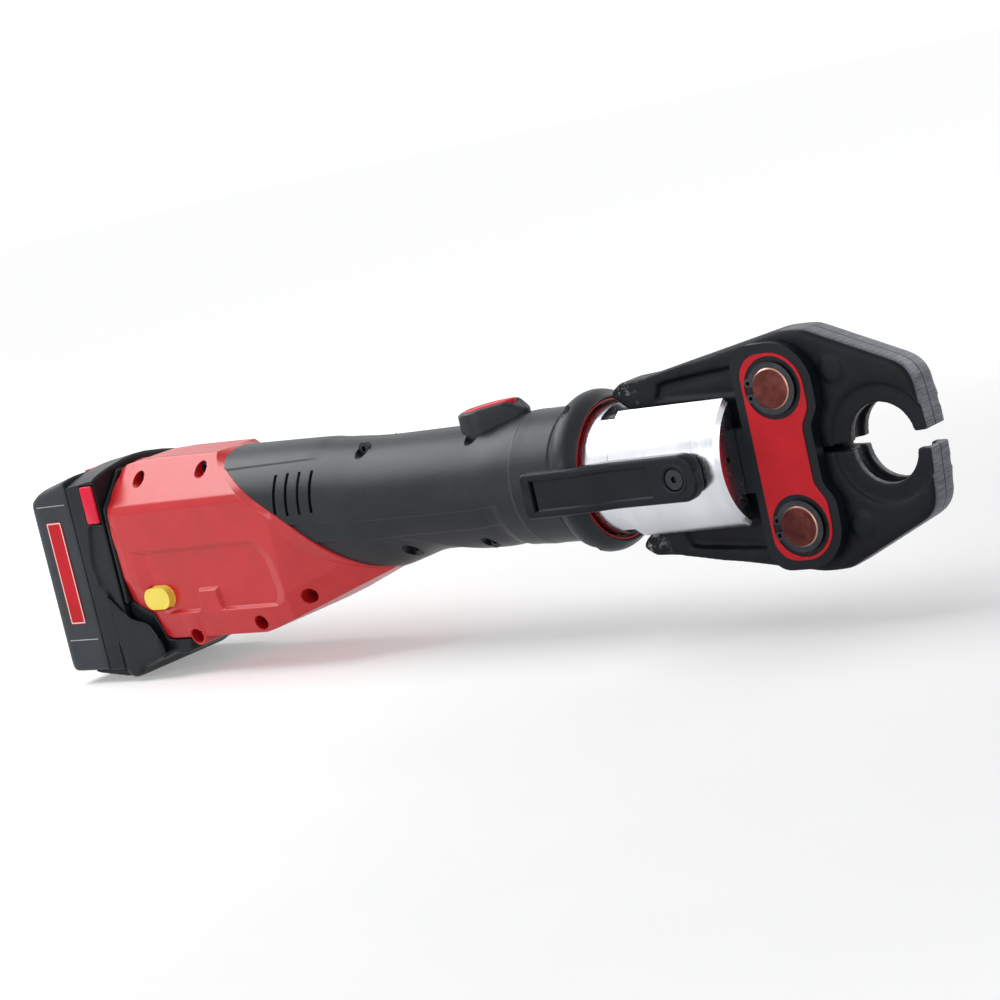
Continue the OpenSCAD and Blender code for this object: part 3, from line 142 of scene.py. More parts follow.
class Finish(Nodes):
    """One procedural material in object coordinates, in millimetres."""

    def __init__(self, name, shine=0.5):
        self.material = bpy.data.materials.new(name)
        self.material.use_nodes = True
        super().__init__(self.material.node_tree)
        self.shader = self.node("ShaderNodeBsdfPrincipled", {}, {"Specular IOR Level": shine})
        self.node("ShaderNodeOutputMaterial", {}, {"Surface": self.shader.outputs["BSDF"]})
        coord = self.node("ShaderNodeTexCoord")
        scaled = self.node("ShaderNodeVectorMath", {"operation": "SCALE"},
                           {0: coord.outputs["Object"], "Scale": 1.0 / MM})
        self.place = scaled.outputs[0]
        self.x, self.y, self.z = self.parts(self.place)
        _, self.ny, _ = self.parts(coord.outputs["Normal"])

    def parts(self, vector):
        split = self.node("ShaderNodeSeparateXYZ", {}, {0: vector})
        return [Value(self, socket) for socket in split.outputs]

    def set(self, **inputs):
        for key, value in inputs.items():
            self.feed(self.shader.inputs[key.replace("_", " ")], value)
        return self

    def stretched(self, sx, sy, sz):
        node = self.node("ShaderNodeVectorMath", {"operation": "MULTIPLY"}, {0: self.place, 1: (sx, sy, sz)})
        return node.outputs[0]

    def noise(self, scale, detail=3.0, rough=0.5, place=None):
        sockets = {"Vector": place or self.place, "Scale": scale, "Detail": detail, "Roughness": rough}
        return Value(self, self.node("ShaderNodeTexNoise", {}, sockets).outputs["Fac"])

    def ridge(self, low, high):
        """1 on the convex edges of a finely divided skin, where hands rub it; the jaws also use it for a
        painted edge highlight.
        """
        return Value(self, self.node("ShaderNodeNewGeometry").outputs["Pointiness"]).step(low, high)

    def away(self, x, z):
        """Distance from a line along Y."""
        dx, dz = self.x - x, self.z - z
        return (dx * dx + dz * dz) ** 0.5

    def bump(self, height, depth, strength=1.0):
        sockets = {"Height": height, "Distance": depth * MM, "Strength": strength}
        return self.set(Normal=self.node("ShaderNodeBump", {}, sockets).outputs[0])


# Finishes
def moulded(name, dark, light, rough=0.5, grain=0.05, shine=0.5, rub=None, coat=0.0):
    """Moulded plastic: fine spark texture, faint flow marks, handling smears and rubbed edges."""
    f = Finish(name, shine)
    patch = f.noise(0.045, 4.0, 0.6)
    spark = f.noise(1.5, 3.0, 0.65)
    smear = f.noise(0.4, 3.0, 0.6, f.stretched(0.25, 1.0, 1.0))
    base = f.mix((patch * 0.6 + spark * 0.4).step(0.35, 0.65), dark, light)
    if rub:
        base = f.mix(f.ridge(0.53, 0.60) * (0.35 + smear * 0.5), base, rub)
    f.set(Base_Color=base, Roughness=rough - 0.09 + patch * 0.08 + smear * 0.1, Coat_Weight=coat,
          Coat_Roughness=0.25)
    return f.bump(spark + smear * 0.25, grain).material


def machined(name, dark, light, rough=0.3, along=(0.02, 1.0, 1.0), scale=1.2, depth=0.02):
    """Machined metal: tool marks along one direction, faint stains and stray scratches."""
    f = Finish(name)
    lines = f.noise(scale, 4.0, 0.65, f.stretched(*along))
    cloud = f.noise(0.06, 4.0, 0.6)
    scratch = f.noise(0.9, 2.0, 0.7, f.stretched(0.15, 2.5, 2.5)).step(0.62, 0.7)
    f.set(Base_Color=f.mix(cloud.step(0.3, 0.7) * 0.5 + lines * 0.3, dark, light), Metallic=1.0,
          Roughness=rough - 0.06 + lines * 0.12 + cloud * 0.08 + scratch * 0.06)
    return f.bump(lines - scratch * 0.3, depth).material


BAND_X, BAND_R, BAND_REAR = -10.0, (30.5, 32.5), (-46.0, -34.0)
SCUFF_FROM = (118.0, 134.0)
BORE_X, BORE_R = 1.7, (19.5, 21.0)


def forged_jaw():
    """Blackened forging with a slightly uneven skin, a ground outer band, scuffed tail tips, and convex
    edges lightened partly by wear and partly as a painted highlight.
    """
    f = Finish("forged_steel", 0.14)
    skin = f.noise(0.35, 5.0, 0.6)
    grit = f.noise(1.6, 3.0, 0.6)
    cloud = f.noise(0.05, 4.0, 0.6)
    grind = f.noise(1.0, 3.0, 0.6, f.stretched(1.8, 0.10, 1.8))
    edge_on = 1.0 - f.ny.abs().step(0.30, 0.62)
    outer = f.away(BAND_X, 0.0).step(*BAND_R) * f.x.step(*BAND_REAR)
    band = edge_on * outer
    parting = band * (1.0 - f.y.abs().step(0.25, 0.55))
    scuff = (f.x * -1.0).step(*SCUFF_FROM) * (skin * 0.7 + grit * 0.3).step(0.52, 0.62)
    # Lighter, more metallic convex edges: partly rubbed wear, partly a painted highlight that brings out the
    # edges and pocket rims.
    wear_and_highlight = f.ridge(0.52, 0.60) * (0.4 + skin * 0.6)
    contour = (1.0 - f.away(BORE_X, 0.0).step(*BORE_R)) * edge_on
    black = f.mix(cloud.step(0.3, 0.7), (0.0040, 0.0046, 0.0066), (0.0080, 0.0092, 0.0125))
    ground = f.mix((grind * 0.8 + grit * 0.2).step(0.3, 0.75), (0.075, 0.080, 0.095), (0.21, 0.22, 0.25))
    bare = f.mix(skin.step(0.35, 0.65), (0.12, 0.124, 0.135), (0.30, 0.31, 0.32))
    base = f.mix(wear_and_highlight * 0.75, black, (0.085, 0.090, 0.102))
    base = f.mix(band * 0.9, base, ground)
    base = f.mix((scuff * 0.75 + contour * 0.35).least(1.0), base, bare)
    base = f.mix(parting, base, (0.016, 0.018, 0.022))
    f.set(Base_Color=base, Metallic=(band * 0.75 + scuff * 0.8 + contour * 0.8 + wear_and_highlight * 0.5).least(1.0),
          Roughness=0.40 + skin * 0.12 - band * 0.04)
    height = skin * (1.0 - band) + grit * 0.16 + grind * band * 0.35 - parting
    return f.bump(height, 0.30, 0.8).material


def polished_aluminium():
    """Turned aluminium: fine rings round the axis, polished, with handling scratches."""
    f = Finish("polished_aluminium")
    rings = f.noise(2.2, 3.0, 0.6, f.stretched(1.0, 0.02, 0.02))
    band = f.noise(0.22, 2.0, 0.5, f.stretched(1.0, 0.01, 0.01))
    cloud = f.noise(0.04, 3.0, 0.5)
    scratch = f.noise(0.8, 2.0, 0.7, f.stretched(3.0, 0.2, 0.4)).step(0.64, 0.7)
    base = f.mix(cloud.step(0.3, 0.7) * 0.6 + rings * 0.3, (0.60, 0.62, 0.66), (0.76, 0.78, 0.82))
    f.set(Base_Color=base, Metallic=1.0, Roughness=0.12 + rings * 0.12 + band * 0.08 + scratch * 0.1)
    return f.bump(rings + band * 0.6 - scratch * 0.3, 0.014, 0.7).material


JAW_PIN_X, JAW_PIN_Z = -44.0, 32.0


def copper_pin():
    """Dark copper plated pin: turning rings and a stain on its end faces, and a bright rim at their edge, a
    painted highlight.
    """
    f = Finish("pin_bronze")
    upper = f.away(JAW_PIN_X, JAW_PIN_Z)
    radius = upper.least(f.away(JAW_PIN_X, -JAW_PIN_Z))
    sockets = {"W": radius, "Scale": 2.4, "Detail": 3.0}
    rings = Value(f, f.node("ShaderNodeTexNoise", {"noise_dimensions": "1D"}, sockets).outputs["Fac"])
    cloud = f.noise(0.14, 4.0, 0.6)
    # Painted highlight: bright copper colour from the edge of the end faces outwards.
    rim = radius.step(8.75, 9.15)
    base = f.mix((cloud * 0.7 + rings * 0.3).step(0.35, 0.7), (0.050, 0.014, 0.012), (0.12, 0.036, 0.030))
    f.set(Base_Color=f.mix(rim * 0.75, base, (0.62, 0.36, 0.28)), Metallic=1.0,
          Roughness=0.22 + rings * 0.14 + cloud * 0.08)
    return f.bump(rings + cloud * 0.3, 0.03).material


def sticker(name, border=None):
    """Printed red film: slight waviness, light dust; border gives a thin pale line inside its edge."""
    f = Finish(name, 0.18)
    wave = f.noise(0.05, 2.0, 0.5)
    fine = f.noise(2.5, 2.0, 0.5)
    dust = f.noise(0.35, 5.0, 0.7).step(0.62, 0.75)
    base = f.mix(wave.step(0.3, 0.7), (0.50, 0.006, 0.013), (0.58, 0.009, 0.018))
    if border:
        x0, x1, z0, z1 = border
        beside = (f.x - (x0 + x1) / 2).abs() - (x1 - x0) / 2
        inside = beside.most((f.z - (z0 + z1) / 2).abs() - (z1 - z0) / 2)
        line = inside.step(-1.15, -0.95) * (1.0 - inside.step(-0.55, -0.35))
        base = f.mix(line, base, (0.78, 0.72, 0.70))
    f.set(Base_Color=f.mix(dust * 0.10, base, (0.75, 0.6, 0.6)), Roughness=0.34 + fine * 0.08 + dust * 0.12)
    return f.bump(fine + wave * 2.0, 0.02).material


BLACK = (0.0060, 0.0082, 0.0110)
BLACK_LIGHT = (0.0110, 0.0145, 0.0185)
RED = (0.49, 0.010, 0.014)
RED_LIGHT = (0.57, 0.015, 0.019)
LABEL_EDGE = (-518.25, -506.25, -48.0, 11.0)
FINISHES = {
    "polished_aluminium": polished_aluminium(),
    "forged_steel": forged_jaw(),
    "black_steel": moulded("black_steel", (0.0050, 0.0072, 0.0105), (0.0095, 0.0125, 0.0175),
                           0.36, 0.03, 0.15),
    "pin_bronze": copper_pin(),
    "bright_steel": machined("bright_steel", (0.45, 0.46, 0.48), (0.72, 0.73, 0.75), 0.26),
    "dark_steel": machined("dark_steel", (0.022, 0.023, 0.026), (0.060, 0.061, 0.066), 0.36),
    "bush_brass": machined("bush_brass", (0.50, 0.33, 0.10), (0.70, 0.50, 0.20), 0.3),
    "black_plastic": moulded("black_plastic", BLACK, BLACK_LIGHT, 0.35, 0.05, 0.20),
    "grey_plastic": moulded("grey_plastic", (0.014, 0.0185, 0.0235), (0.023, 0.0290, 0.0355),
                            0.47, 0.04, 0.32),
    "red_plastic": moulded("red_plastic", RED, RED_LIGHT, 0.42, 0.03, 0.42),
    "red_button": moulded("red_button", (0.66, 0.008, 0.034), (0.74, 0.012, 0.046), 0.36, 0.02, 0.24),
    "red_sticker": sticker("red_sticker"),
    "yellow_plastic": moulded("yellow_plastic", (0.86, 0.66, 0.075), (0.92, 0.76, 0.130), 0.38, 0.02, 0.4),
    "clear_grey": moulded("clear_grey", (0.36, 0.38, 0.41), (0.47, 0.49, 0.52), 0.3, 0.015, coat=0.3),
    "seal_rubber": moulded("seal_rubber", (0.010, 0.010, 0.010), (0.020, 0.020, 0.020), 0.7, 0.05),
    "board_green": moulded("board_green", (0.015, 0.10, 0.04), (0.03, 0.16, 0.07), 0.4, 0.03),
    "contact_copper": machined("contact_copper", (0.55, 0.27, 0.09), (0.78, 0.46, 0.2), 0.28),
    "cell_wrap": moulded("cell_wrap", (0.03, 0.09, 0.25), (0.05, 0.14, 0.34), 0.3, 0.02),
    "cast_aluminium": machined("cast_aluminium", (0.30, 0.31, 0.33), (0.46, 0.47, 0.49), 0.42,
                               (1.0, 1.0, 1.0), 1.0, 0.08),
}
HANDLE_FINISH = moulded("handle_black", (0.0065, 0.0095, 0.0125), (0.0130, 0.0180, 0.0225),
                        0.35, 0.09, 0.26, rub=(0.045, 0.055, 0.062))
HOUSING_FINISH = moulded("housing_red", RED, RED_LIGHT, 0.31, 0.006, 0.48, coat=0.04)
PACK_STICKER = sticker("pack_sticker", LABEL_EDGE)


# Shape helpers, all in millimetres
def smooth(low, high, v):
    """0 at low, 1 at high, smooth between; low may be the larger one."""
    t = np.clip((v - low) / (high - low), 0.0, 1.0)
    return t * t * (3.0 - 2.0 * t)


def ramp(low, high, v):
    """0 at low, 1 at high, straight between; low may be the larger one."""
    return np.clip((v - low) / (high - low), 0.0, 1.0)


def knots(v, points):
    """Piecewise linear curve through points of (v, value), points sorted by v."""
    a = np.array(points, float)
    return np.interp(v, a[:, 0], a[:, 1])


def samples(low, high, coarse, fine, spans):
    """Places from low to high, closer together inside the spans."""
    places = [low]
    while places[-1] < high:
        at = places[-1]
        places.append(at + (fine if any(a <= at <= b for a, b in spans) else coarse))
    places[-1] = high
    return np.array(places)


def around(places, reach):
    """Spans of that reach to both sides of each place."""
    return [(place - reach, place + reach) for place in places]


def outline_distance(px, pz, corners):
    """Signed distance to a closed outline, negative inside."""
    best = np.full(px.shape, 1e9)
    inside = np.zeros(px.shape, bool)
    for (ax, az), (bx, bz) in zip(corners, corners[1:] + corners[:1]):
        ex, ez = bx - ax, bz - az
        t = np.clip(((px - ax) * ex + (pz - az) * ez) / (ex * ex + ez * ez), 0.0, 1.0)
        best = np.minimum(best, np.hypot(px - ax - t * ex, pz - az - t * ez))
        crosses = (az > pz) != (bz > pz)
        at = ax + (pz - az) / np.where(ez == 0, 1e-9, ez) * ex
        inside ^= crosses & (px < at)
    return np.where(inside, -best, best)


def soften(values, passes, axis):
    """Rounds corners of a grid along one axis with a short running mean."""
    n = values.shape[axis]
    for _ in range(passes):
        pad = np.concatenate([values.take([0], axis), values, values.take([-1], axis)], axis)
        sides = pad.take(range(n), axis) + pad.take(range(2, n + 2), axis)
        values = (sides + 2 * values) / 4
    return values


def add_piece(name, points, faces, slot, body, nodes=(), sharp=35.0, finish=None):
    """A mesh piece of the tool, which stands for CAD nodes and moves with their body."""
    mesh = bpy.data.meshes.new(name)
    mesh.from_pydata((np.asarray(points, float) * MM).tolist(), [], faces)
    shape = bmesh.new()
    shape.from_mesh(mesh)
    bmesh.ops.recalc_face_normals(shape, faces=shape.faces)
    shape.to_mesh(mesh)
    shape.free()
    mesh.validate()
    mesh.shade_smooth()
    mesh.set_sharp_from_angle(angle=math.radians(sharp))
    mesh.materials.append(finish or FINISHES[slot])
    obj = bpy.data.objects.new(name, mesh)
    bpy.context.scene.collection.objects.link(obj)
    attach(obj, body)
    if nodes:
        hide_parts(*nodes)
    return obj


def grid_faces(rows, cols, wrap_rows=False, wrap_cols=False):
    """Quads of a grid of points; wrapping joins the last row or column to the first."""
    r, c = np.meshgrid(np.arange(rows if wrap_rows else rows - 1),
                       np.arange(cols if wrap_cols else cols - 1), indexing="ij")
    below, beside = (r + 1) % rows, (c + 1) % cols
    quads = np.stack([r * cols + c, r * cols + beside, below * cols + beside, below * cols + c], -1)
    return quads.reshape(-1, 4).tolist()


def add_grid(name, points, slot, body, nodes=(), **looks):
    rows, cols = points.shape[:2]
    return add_piece(name, points.reshape(-1, 3), grid_faces(rows, cols), slot, body, nodes, **looks)


def add_loops(name, loops, slot, body, nodes=(), ring=False, caps=(True, True), **looks):
    """A skin over closed loops of as many points each; ring joins the last loop to the first."""
    points = np.array(loops)
    rows, cols = points.shape[:2]
    faces = grid_faces(rows, cols, ring, True)
    if caps[0] and not ring:
        faces.append(list(range(cols)))
    if caps[1] and not ring:
        faces.append(list(range((rows - 1) * cols, rows * cols)))
    return add_piece(name, points.reshape(-1, 3), faces, slot, body, nodes, **looks)


def arc(middle, radius, first, last, count):
    """Points of an arc in a plane, by angle in degrees."""
    turn = np.radians(np.linspace(first, last, count))
    return [(middle[0] + radius * math.cos(a), middle[1] + radius * math.sin(a)) for a in turn]


def spread(points, count):
    """As many points as asked for, evenly along a closed outline."""
    closed = np.array(list(points) + [points[0]], float)
    run = np.concatenate([[0.0], np.cumsum(np.hypot(*np.diff(closed, axis=0).T))])
    at = np.linspace(0.0, run[-1], count, endpoint=False)
    return np.stack([np.interp(at, run, closed[:, i]) for i in (0, 1)], -1)


def egg(rear, rear_r, front, front_r, count):
    """Outline in plan: a large circle behind and a small one in front, joined by their tangents."""
    lean = math.degrees(math.asin((rear_r - front_r) / (front - rear)))
    nose = arc((front, 0.0), front_r, 0.0, 90.0 - lean, 12)
    stern = arc((rear, 0.0), rear_r, 90.0 - lean, 270.0 + lean, 40)
    return spread(nose + stern + arc((front, 0.0), front_r, 270.0 + lean, 360.0, 12)[:-1], count)


def even_copy(node, voxel):
    """A copy of a CAD piece with an even skin: its points, edges and faces."""
    raw = bpy.data.objects.new(node + "_raw", NODES[node].data.copy())
    bpy.context.scene.collection.objects.link(raw)
    weld = raw.modifiers.new("weld", "WELD")
    weld.merge_threshold = 0.01 * MM
    remesh = raw.modifiers.new("even_skin", "REMESH")
    remesh.mode = "VOXEL"
    remesh.voxel_size = voxel * MM
    even = bpy.data.meshes.new_from_object(raw.evaluated_get(bpy.context.evaluated_depsgraph_get()))
    points = np.empty(3 * len(even.vertices))
    even.vertices.foreach_get("co", points)
    edges = np.empty(2 * len(even.edges), int)
    even.edges.foreach_get("vertices", edges)
    faces = [list(face.vertices) for face in even.polygons]
    bpy.data.objects.remove(raw)
    return points.reshape(-1, 3) / MM, edges.reshape(-1, 2), faces


def relax(points, edges, weight, passes):
    """Rounds a skin: each point moves towards the mean of its neighbours by its weight."""
    a, b = edges.T
    count = len(points)
    shares = np.bincount(edges.ravel(), minlength=count)
    for _ in range(passes):
        total = np.stack([np.bincount(a, points[b, i], count) + np.bincount(b, points[a, i], count)
                          for i in range(3)], -1)
        points = points + weight[:, None] * (total / shares[:, None] - points)
    return points


# Evens out the steps of a remeshed skin before it is shaped
SKIN_EASE = 0.4

# Press jaws; each pair of crisp or tail values is where a mask starts and where it is full
JAW_VOXEL = 0.7
JAW_FIRST_PASSES, JAW_PASSES = 4, 44
CONTOUR_X, CONTOUR_Z = 1.72, 2.51
CONTOUR_CRISP = (24.0, 28.5)
MATING_CRISP = (0.9, 2.6)
BOSS_X, BOSS_Z = -16.0, 36.0
BOSS_CRISP = (9.5, 7.5)
TAIL_FRONT, TAIL_REAR = (-72.0, -76.0), (-118.0, -114.0)
TAIL_INNER, TAIL_OUTER = (33.0, 35.0), (49.0, 47.0)
TAIL_TIP = (-111.0, -115.0)
TAIL_POCKET = [(-112.5, 32.0), (-110.0, 38.4), (-105.5, 39.9), (-64.0, 43.0), (-64.0, 30.0)]
TAIL_POCKET_DEPTH, TAIL_POCKET_EDGE, TAIL_FACE_Y = 1.8, 0.8, 7.0


def build_jaw(name):
    """A forging with broad round edges; its pressing contour, boss and mating face stay crisp."""
    points, edges, faces = even_copy(name, JAW_VOXEL)
    x, _, z = points.T
    tall = np.abs(z)
    weight = 0.5 * smooth(*CONTOUR_CRISP, np.hypot(x - CONTOUR_X, tall - CONTOUR_Z))
    weight = weight * smooth(*MATING_CRISP, tall)
    weight = weight * (1.0 - 0.95 * smooth(*BOSS_CRISP, np.hypot(x - BOSS_X, tall - BOSS_Z)))
    flank = smooth(*TAIL_FRONT, x) * smooth(*TAIL_REAR, x) * smooth(*TAIL_INNER, tall)
    weight = weight * (1.0 - 0.86 * flank * smooth(*TAIL_OUTER, tall))
    weight = weight * (1.0 - 0.72 * smooth(*TAIL_TIP, x))
    points = relax(points, edges, np.full(len(points), SKIN_EASE), JAW_FIRST_PASSES)
    points = relax(points, edges, weight, JAW_PASSES)
    into = outline_distance(points[:, 0], np.abs(points[:, 2]), TAIL_POCKET)
    sink = TAIL_POCKET_DEPTH * ramp(TAIL_POCKET_EDGE, -TAIL_POCKET_EDGE, into)
    points[:, 1] -= np.sign(points[:, 1]) * sink * (np.abs(points[:, 1]) > TAIL_FACE_Y)
    add_piece(name + "_forging", points, faces, "forged_steel", name, [name], sharp=70)


# Collar round the swivel head
COLLAR_R = 39.5
COLLAR_SCREW_X = -161.6
COLLAR_SCREW_ANGLES = (60.0, 120.0, 240.0, 300.0)
COLLAR_PROFILE = [(-190.3, 33.15), (-189.6, 33.2), (-184.0, 33.0), (-168.0, 33.1), (-167.6, 33.1),
                  (-167.3, 32.7), (-166.3, 32.7), (-166.0, 33.3), (-164.7, 34.8), (-163.3, 36.7),
                  (-161.7, 38.0), (-159.7, 38.9), (-157.0, 39.5), (-153.6, 39.1), (-151.0, 37.8),
                  (-149.2, 36.2), (-148.3, 35.1)]
COLLAR_INSIDE = [(-148.6, 34.5), (-151.2, 34.4), (-151.3, 32.0), (-151.9, 31.95)]
BUSH_SECTION = [(-183.1, 31.6), (-183.1, 32.3), (-156.0, 32.3), (-156.0, 31.6)]
CLIP_SECTION = [(-185.4, 31.6), (-185.4, 32.3), (-183.6, 32.3), (-183.6, 31.6)]
RECESS_R, RECESS_FLOOR = 4.9, 34.4
SCREW_STEPS = [(2.5, 33.4), (2.5, 35.3), (2.2, 35.6), (1.25, 35.6), (1.15, 34.7)]
RING_SECTION = [(-151.1, 33.0), (-151.1, 34.1), (-149.3, 34.15), (-148.8, 33.9), (-148.7, 33.5),
                (-148.9, 33.15)]
RING_POINTS, SCREW_POINTS = 180, 24


def turned_loop(at, radius, turns):
    return np.column_stack([np.full(len(turns), at), radius * np.cos(turns), radius * np.sin(turns)])


def build_collar():
    """Bell shaped collar with four screw recesses and its inner wall, and the turned rings inside it."""
    xs = samples(COLLAR_PROFILE[0][0], COLLAR_PROFILE[-1][0], 0.8, 0.28, [(-171.8, -157.5)])
    turns = np.radians(samples(0.0, 359.4, 2.0, 0.42, around(COLLAR_SCREW_ANGLES, 7.0)))
    x, turn = np.meshgrid(xs, turns, indexing="ij")
    r = soften(knots(x, COLLAR_PROFILE), 2, 0)
    for angle in COLLAR_SCREW_ANGLES:
        swing = (turn - math.radians(angle) + math.pi) % (2 * math.pi) - math.pi
        hole = np.hypot(x - COLLAR_SCREW_X, swing * COLLAR_R)
        r = r - np.maximum(r - RECESS_FLOOR, 0.0) * ramp(RECESS_R + 0.35, RECESS_R, hole)
    loops = [np.stack([a, b * np.cos(c), b * np.sin(c)], -1) for a, b, c in zip(x, r, turn)]
    loops += [turned_loop(at, radius, turns) for at, radius in COLLAR_INSIDE]
    add_loops("collar_bell", loops, "black_plastic", "body", ["front_collar"], caps=(False, False), sharp=48,
              finish=HANDLE_FINISH)
    rings = (("collar_hoop", RING_SECTION, "red_plastic", "body", "collar_ring"),
             ("neck_bush", BUSH_SECTION, "bush_brass", "body", "swivel_bush"),
             ("neck_clip", CLIP_SECTION, "dark_steel", "head", "head_circlip"))
    even = np.linspace(0.0, 2 * math.pi, RING_POINTS, endpoint=False)
    for name, section, slot, body, node in rings:
        loops = [turned_loop(at, radius, even) for at, radius in section]
        add_loops(name, loops, slot, body, [node], ring=True)


def build_collar_screws():
    """Socket screws at the bottom of the collar's recesses."""
    around_head = np.linspace(0.0, 2 * math.pi, SCREW_POINTS, endpoint=False)
    rows, cols = len(SCREW_STEPS), SCREW_POINTS
    points, faces = [], []
    for angle in np.radians(COLLAR_SCREW_ANGLES):
        out = np.array([0.0, math.cos(angle), math.sin(angle)])
        aside = np.array([0.0, -math.sin(angle), math.cos(angle)])
        start = len(points)
        for radius, height in SCREW_STEPS:
            for turn in around_head:
                along = np.array([COLLAR_SCREW_X + radius * math.cos(turn), 0.0, 0.0])
                points.append(along + out * height + aside * radius * math.sin(turn))
        faces += (np.array(grid_faces(rows, cols, False, True)) + start).tolist()
        faces += [[start + i for i in range(cols)], [start + (rows - 1) * cols + i for i in range(cols)]]
    add_piece("collar_bolts", points, faces, "dark_steel", "body", ["collar_screws"])


# Start button in its raised frame
SURROUND = (-222.0, 14.0, -201.0, 5.6)
SURROUND_TOP, SURROUND_ROUND = 40.5, 2.4
SURROUND_WALL = (18.0, 26.0, 33.0, SURROUND_TOP - SURROUND_ROUND)
BUTTON = (-222.4, 10.4, -206.5, 4.2)
BUTTON_TOP = 41.1
WELL_STEPS = [(-1.2, 0.0), (-0.6, -0.25), (-0.45, -0.8), (-0.45, -6.0)]
CAP_RIM_STEPS = [(0.0, -2.6), (0.0, -0.9), (0.25, -0.35), (0.8, 0.0), (1.5, 0.0), (1.75, -0.55),
                 (2.0, -0.6), (2.4, -0.3), (3.0, -0.25), (3.7, -0.35)]
EGG_POINTS = 160
BUTTON_LEAN, LEAN_FROM = 0.095, -200.0
NOSE_DROP, NOSE_SLOPE = 5.0, (-205.5, -195.4)


def egg_loop(shape, inset, z):
    rear, rear_r, front, front_r = shape
    plan = egg(rear, rear_r - inset, front, front_r - inset, EGG_POINTS)
    return np.column_stack([plan, np.full(EGG_POINTS, z)])


def build_start_button():
    """Egg shaped frame whose nose slopes down to the handle, and the flush button in it."""
    loops = [egg_loop(SURROUND, 0.0, z) for z in SURROUND_WALL]
    for a in np.radians(np.linspace(12, 90, 7)):
        inset, drop = SURROUND_ROUND * (1 - math.cos(a)), SURROUND_ROUND * (1 - math.sin(a))
        loops.append(egg_loop(SURROUND, inset, SURROUND_TOP - drop))
    loops += [egg_loop(BUTTON, inset, SURROUND_TOP + rise) for inset, rise in WELL_STEPS]
    loops = np.array(loops)
    high = ramp(30.0, SURROUND_TOP, loops[..., 2])
    loops[..., 2] += BUTTON_LEAN * high * (loops[..., 0] - LEAN_FROM)
    loops[..., 2] -= NOSE_DROP * high * smooth(*NOSE_SLOPE, loops[..., 0])
    add_loops("button_frame", loops, "black_plastic", "body", ["button_surround"], caps=(False, False),
              finish=HANDLE_FINISH)

    cap = np.array([egg_loop(BUTTON, inset, BUTTON_TOP + rise) for inset, rise in CAP_RIM_STEPS])
    cap[..., 2] += BUTTON_LEAN * (cap[..., 0] - LEAN_FROM)
    add_loops("start_button_cap", cap, "red_button", "start_button", ["start_button"])


# Lever of the locking pin
LEVER_REAR, LEVER_FRONT, LEVER_AT = -171.6, -78.0, -89.0
LEVER_HALF = 11.0
LEVER_ROUND = 1.7
LEVER_TIP_R, LEVER_TAIL_R = 7.5, 2.0
LEVER_FINE = [(-171.7, -162.5), (-104.5, -100.5), (-96.0, -78.0)]
LEVER_OUT, LEVER_BEND, LEVER_END = -48.9, (-146.0, -120.0), (-177.0, -143.0)
LEVER_IN, LEVER_IN_RISE, LEVER_IN_BEND = -41.4, 6.3, (-140.5, -129.0)
LEVER_PANEL_X, LEVER_PANEL_HALF, LEVER_PANEL_SINK = (-165.0, -102.5), 7.0, 0.8
LEVER_SLOT_X, LEVER_SLOT_HALF, LEVER_SLOT_DEPTH = -165.8, (0.9, 7.2), 3.0
SEAT_R, SEAT_RIM_R, SEAT_RIM_RISE = (5.3, 5.0), 6.6, 0.3


def corner_cut(into, radius):
    """How much a round corner takes off a side, at a place that lies that far into the corner."""
    return radius - np.sqrt(radius ** 2 - np.clip(into, 0.0, radius) ** 2)


def lever_outer(x):
    """Outer face of the lever, a gentle S along its length."""
    rise = 1.3 * ramp(*LEVER_END, x) + 4.6 * smooth(*LEVER_BEND, x)
    return LEVER_OUT + rise + 0.4 * ramp(LEVER_BEND[1], LEVER_FRONT, x)


def lever_inner(x):
    return LEVER_IN + LEVER_IN_RISE * smooth(*LEVER_IN_BEND, x)


def build_lever():
    """Flat lever with a sunk panel, a slot near its free end and a seat for the screw."""
    xs = samples(LEVER_REAR, LEVER_FRONT - 0.02, 1.0, 0.3, LEVER_FINE)
    loops = []
    for x in xs:
        half = LEVER_HALF - corner_cut(x - LEVER_FRONT + LEVER_TIP_R, LEVER_TIP_R)
        half -= corner_cut(LEVER_REAR + LEVER_TAIL_R - x, LEVER_TAIL_R)
        easing = min(LEVER_ROUND, half * 0.6, 1.0 + (x - LEVER_REAR) * 0.5)
        low, high = lever_outer(x), lever_inner(x)
        near = [(low, z) for z in np.linspace(half - easing, easing - half, 64)]
        far = [(high, z) for z in np.linspace(easing - half, half - easing, 16)]
        under = arc((low + easing, easing - half), easing, 180, 270, 6)[1:]
        under += arc((high - easing, easing - half), easing, 270, 360, 6)[:-1]
        over = arc((high - easing, half - easing), easing, 0, 90, 6)[1:]
        over += arc((low + easing, half - easing), easing, 90, 180, 6)[:-1]
        section = np.array(near + under + far + over)
        loops.append(np.column_stack([np.full(len(section), x), section]))
    loops = np.array(loops)
    x, y, z = np.moveaxis(loops, -1, 0)
    face = ramp(1.2, 0.4, y - lever_outer(x))
    beyond = np.maximum(LEVER_PANEL_X[0] - x, x - LEVER_PANEL_X[1])
    panel = LEVER_PANEL_SINK * ramp(0.3, -0.3, np.maximum(beyond, np.abs(z) - LEVER_PANEL_HALF))
    slot = np.maximum(np.abs(x - LEVER_SLOT_X) - LEVER_SLOT_HALF[0], np.abs(z) - LEVER_SLOT_HALF[1])
    seat = np.hypot(x - LEVER_AT, z)
    rim = np.abs(seat - SEAT_RIM_R)
    dip = np.maximum(panel, LEVER_SLOT_DEPTH * ramp(0.15, -0.15, slot))
    dip = np.maximum(dip, LEVER_SLOT_DEPTH * ramp(*SEAT_R, seat)) - SEAT_RIM_RISE * ramp(0.7, 0.2, rim)
    loops[..., 1] = y + face * dip
    add_loops("lever_arm", loops, "black_steel", "lever", ["pin_lever"], sharp=45)


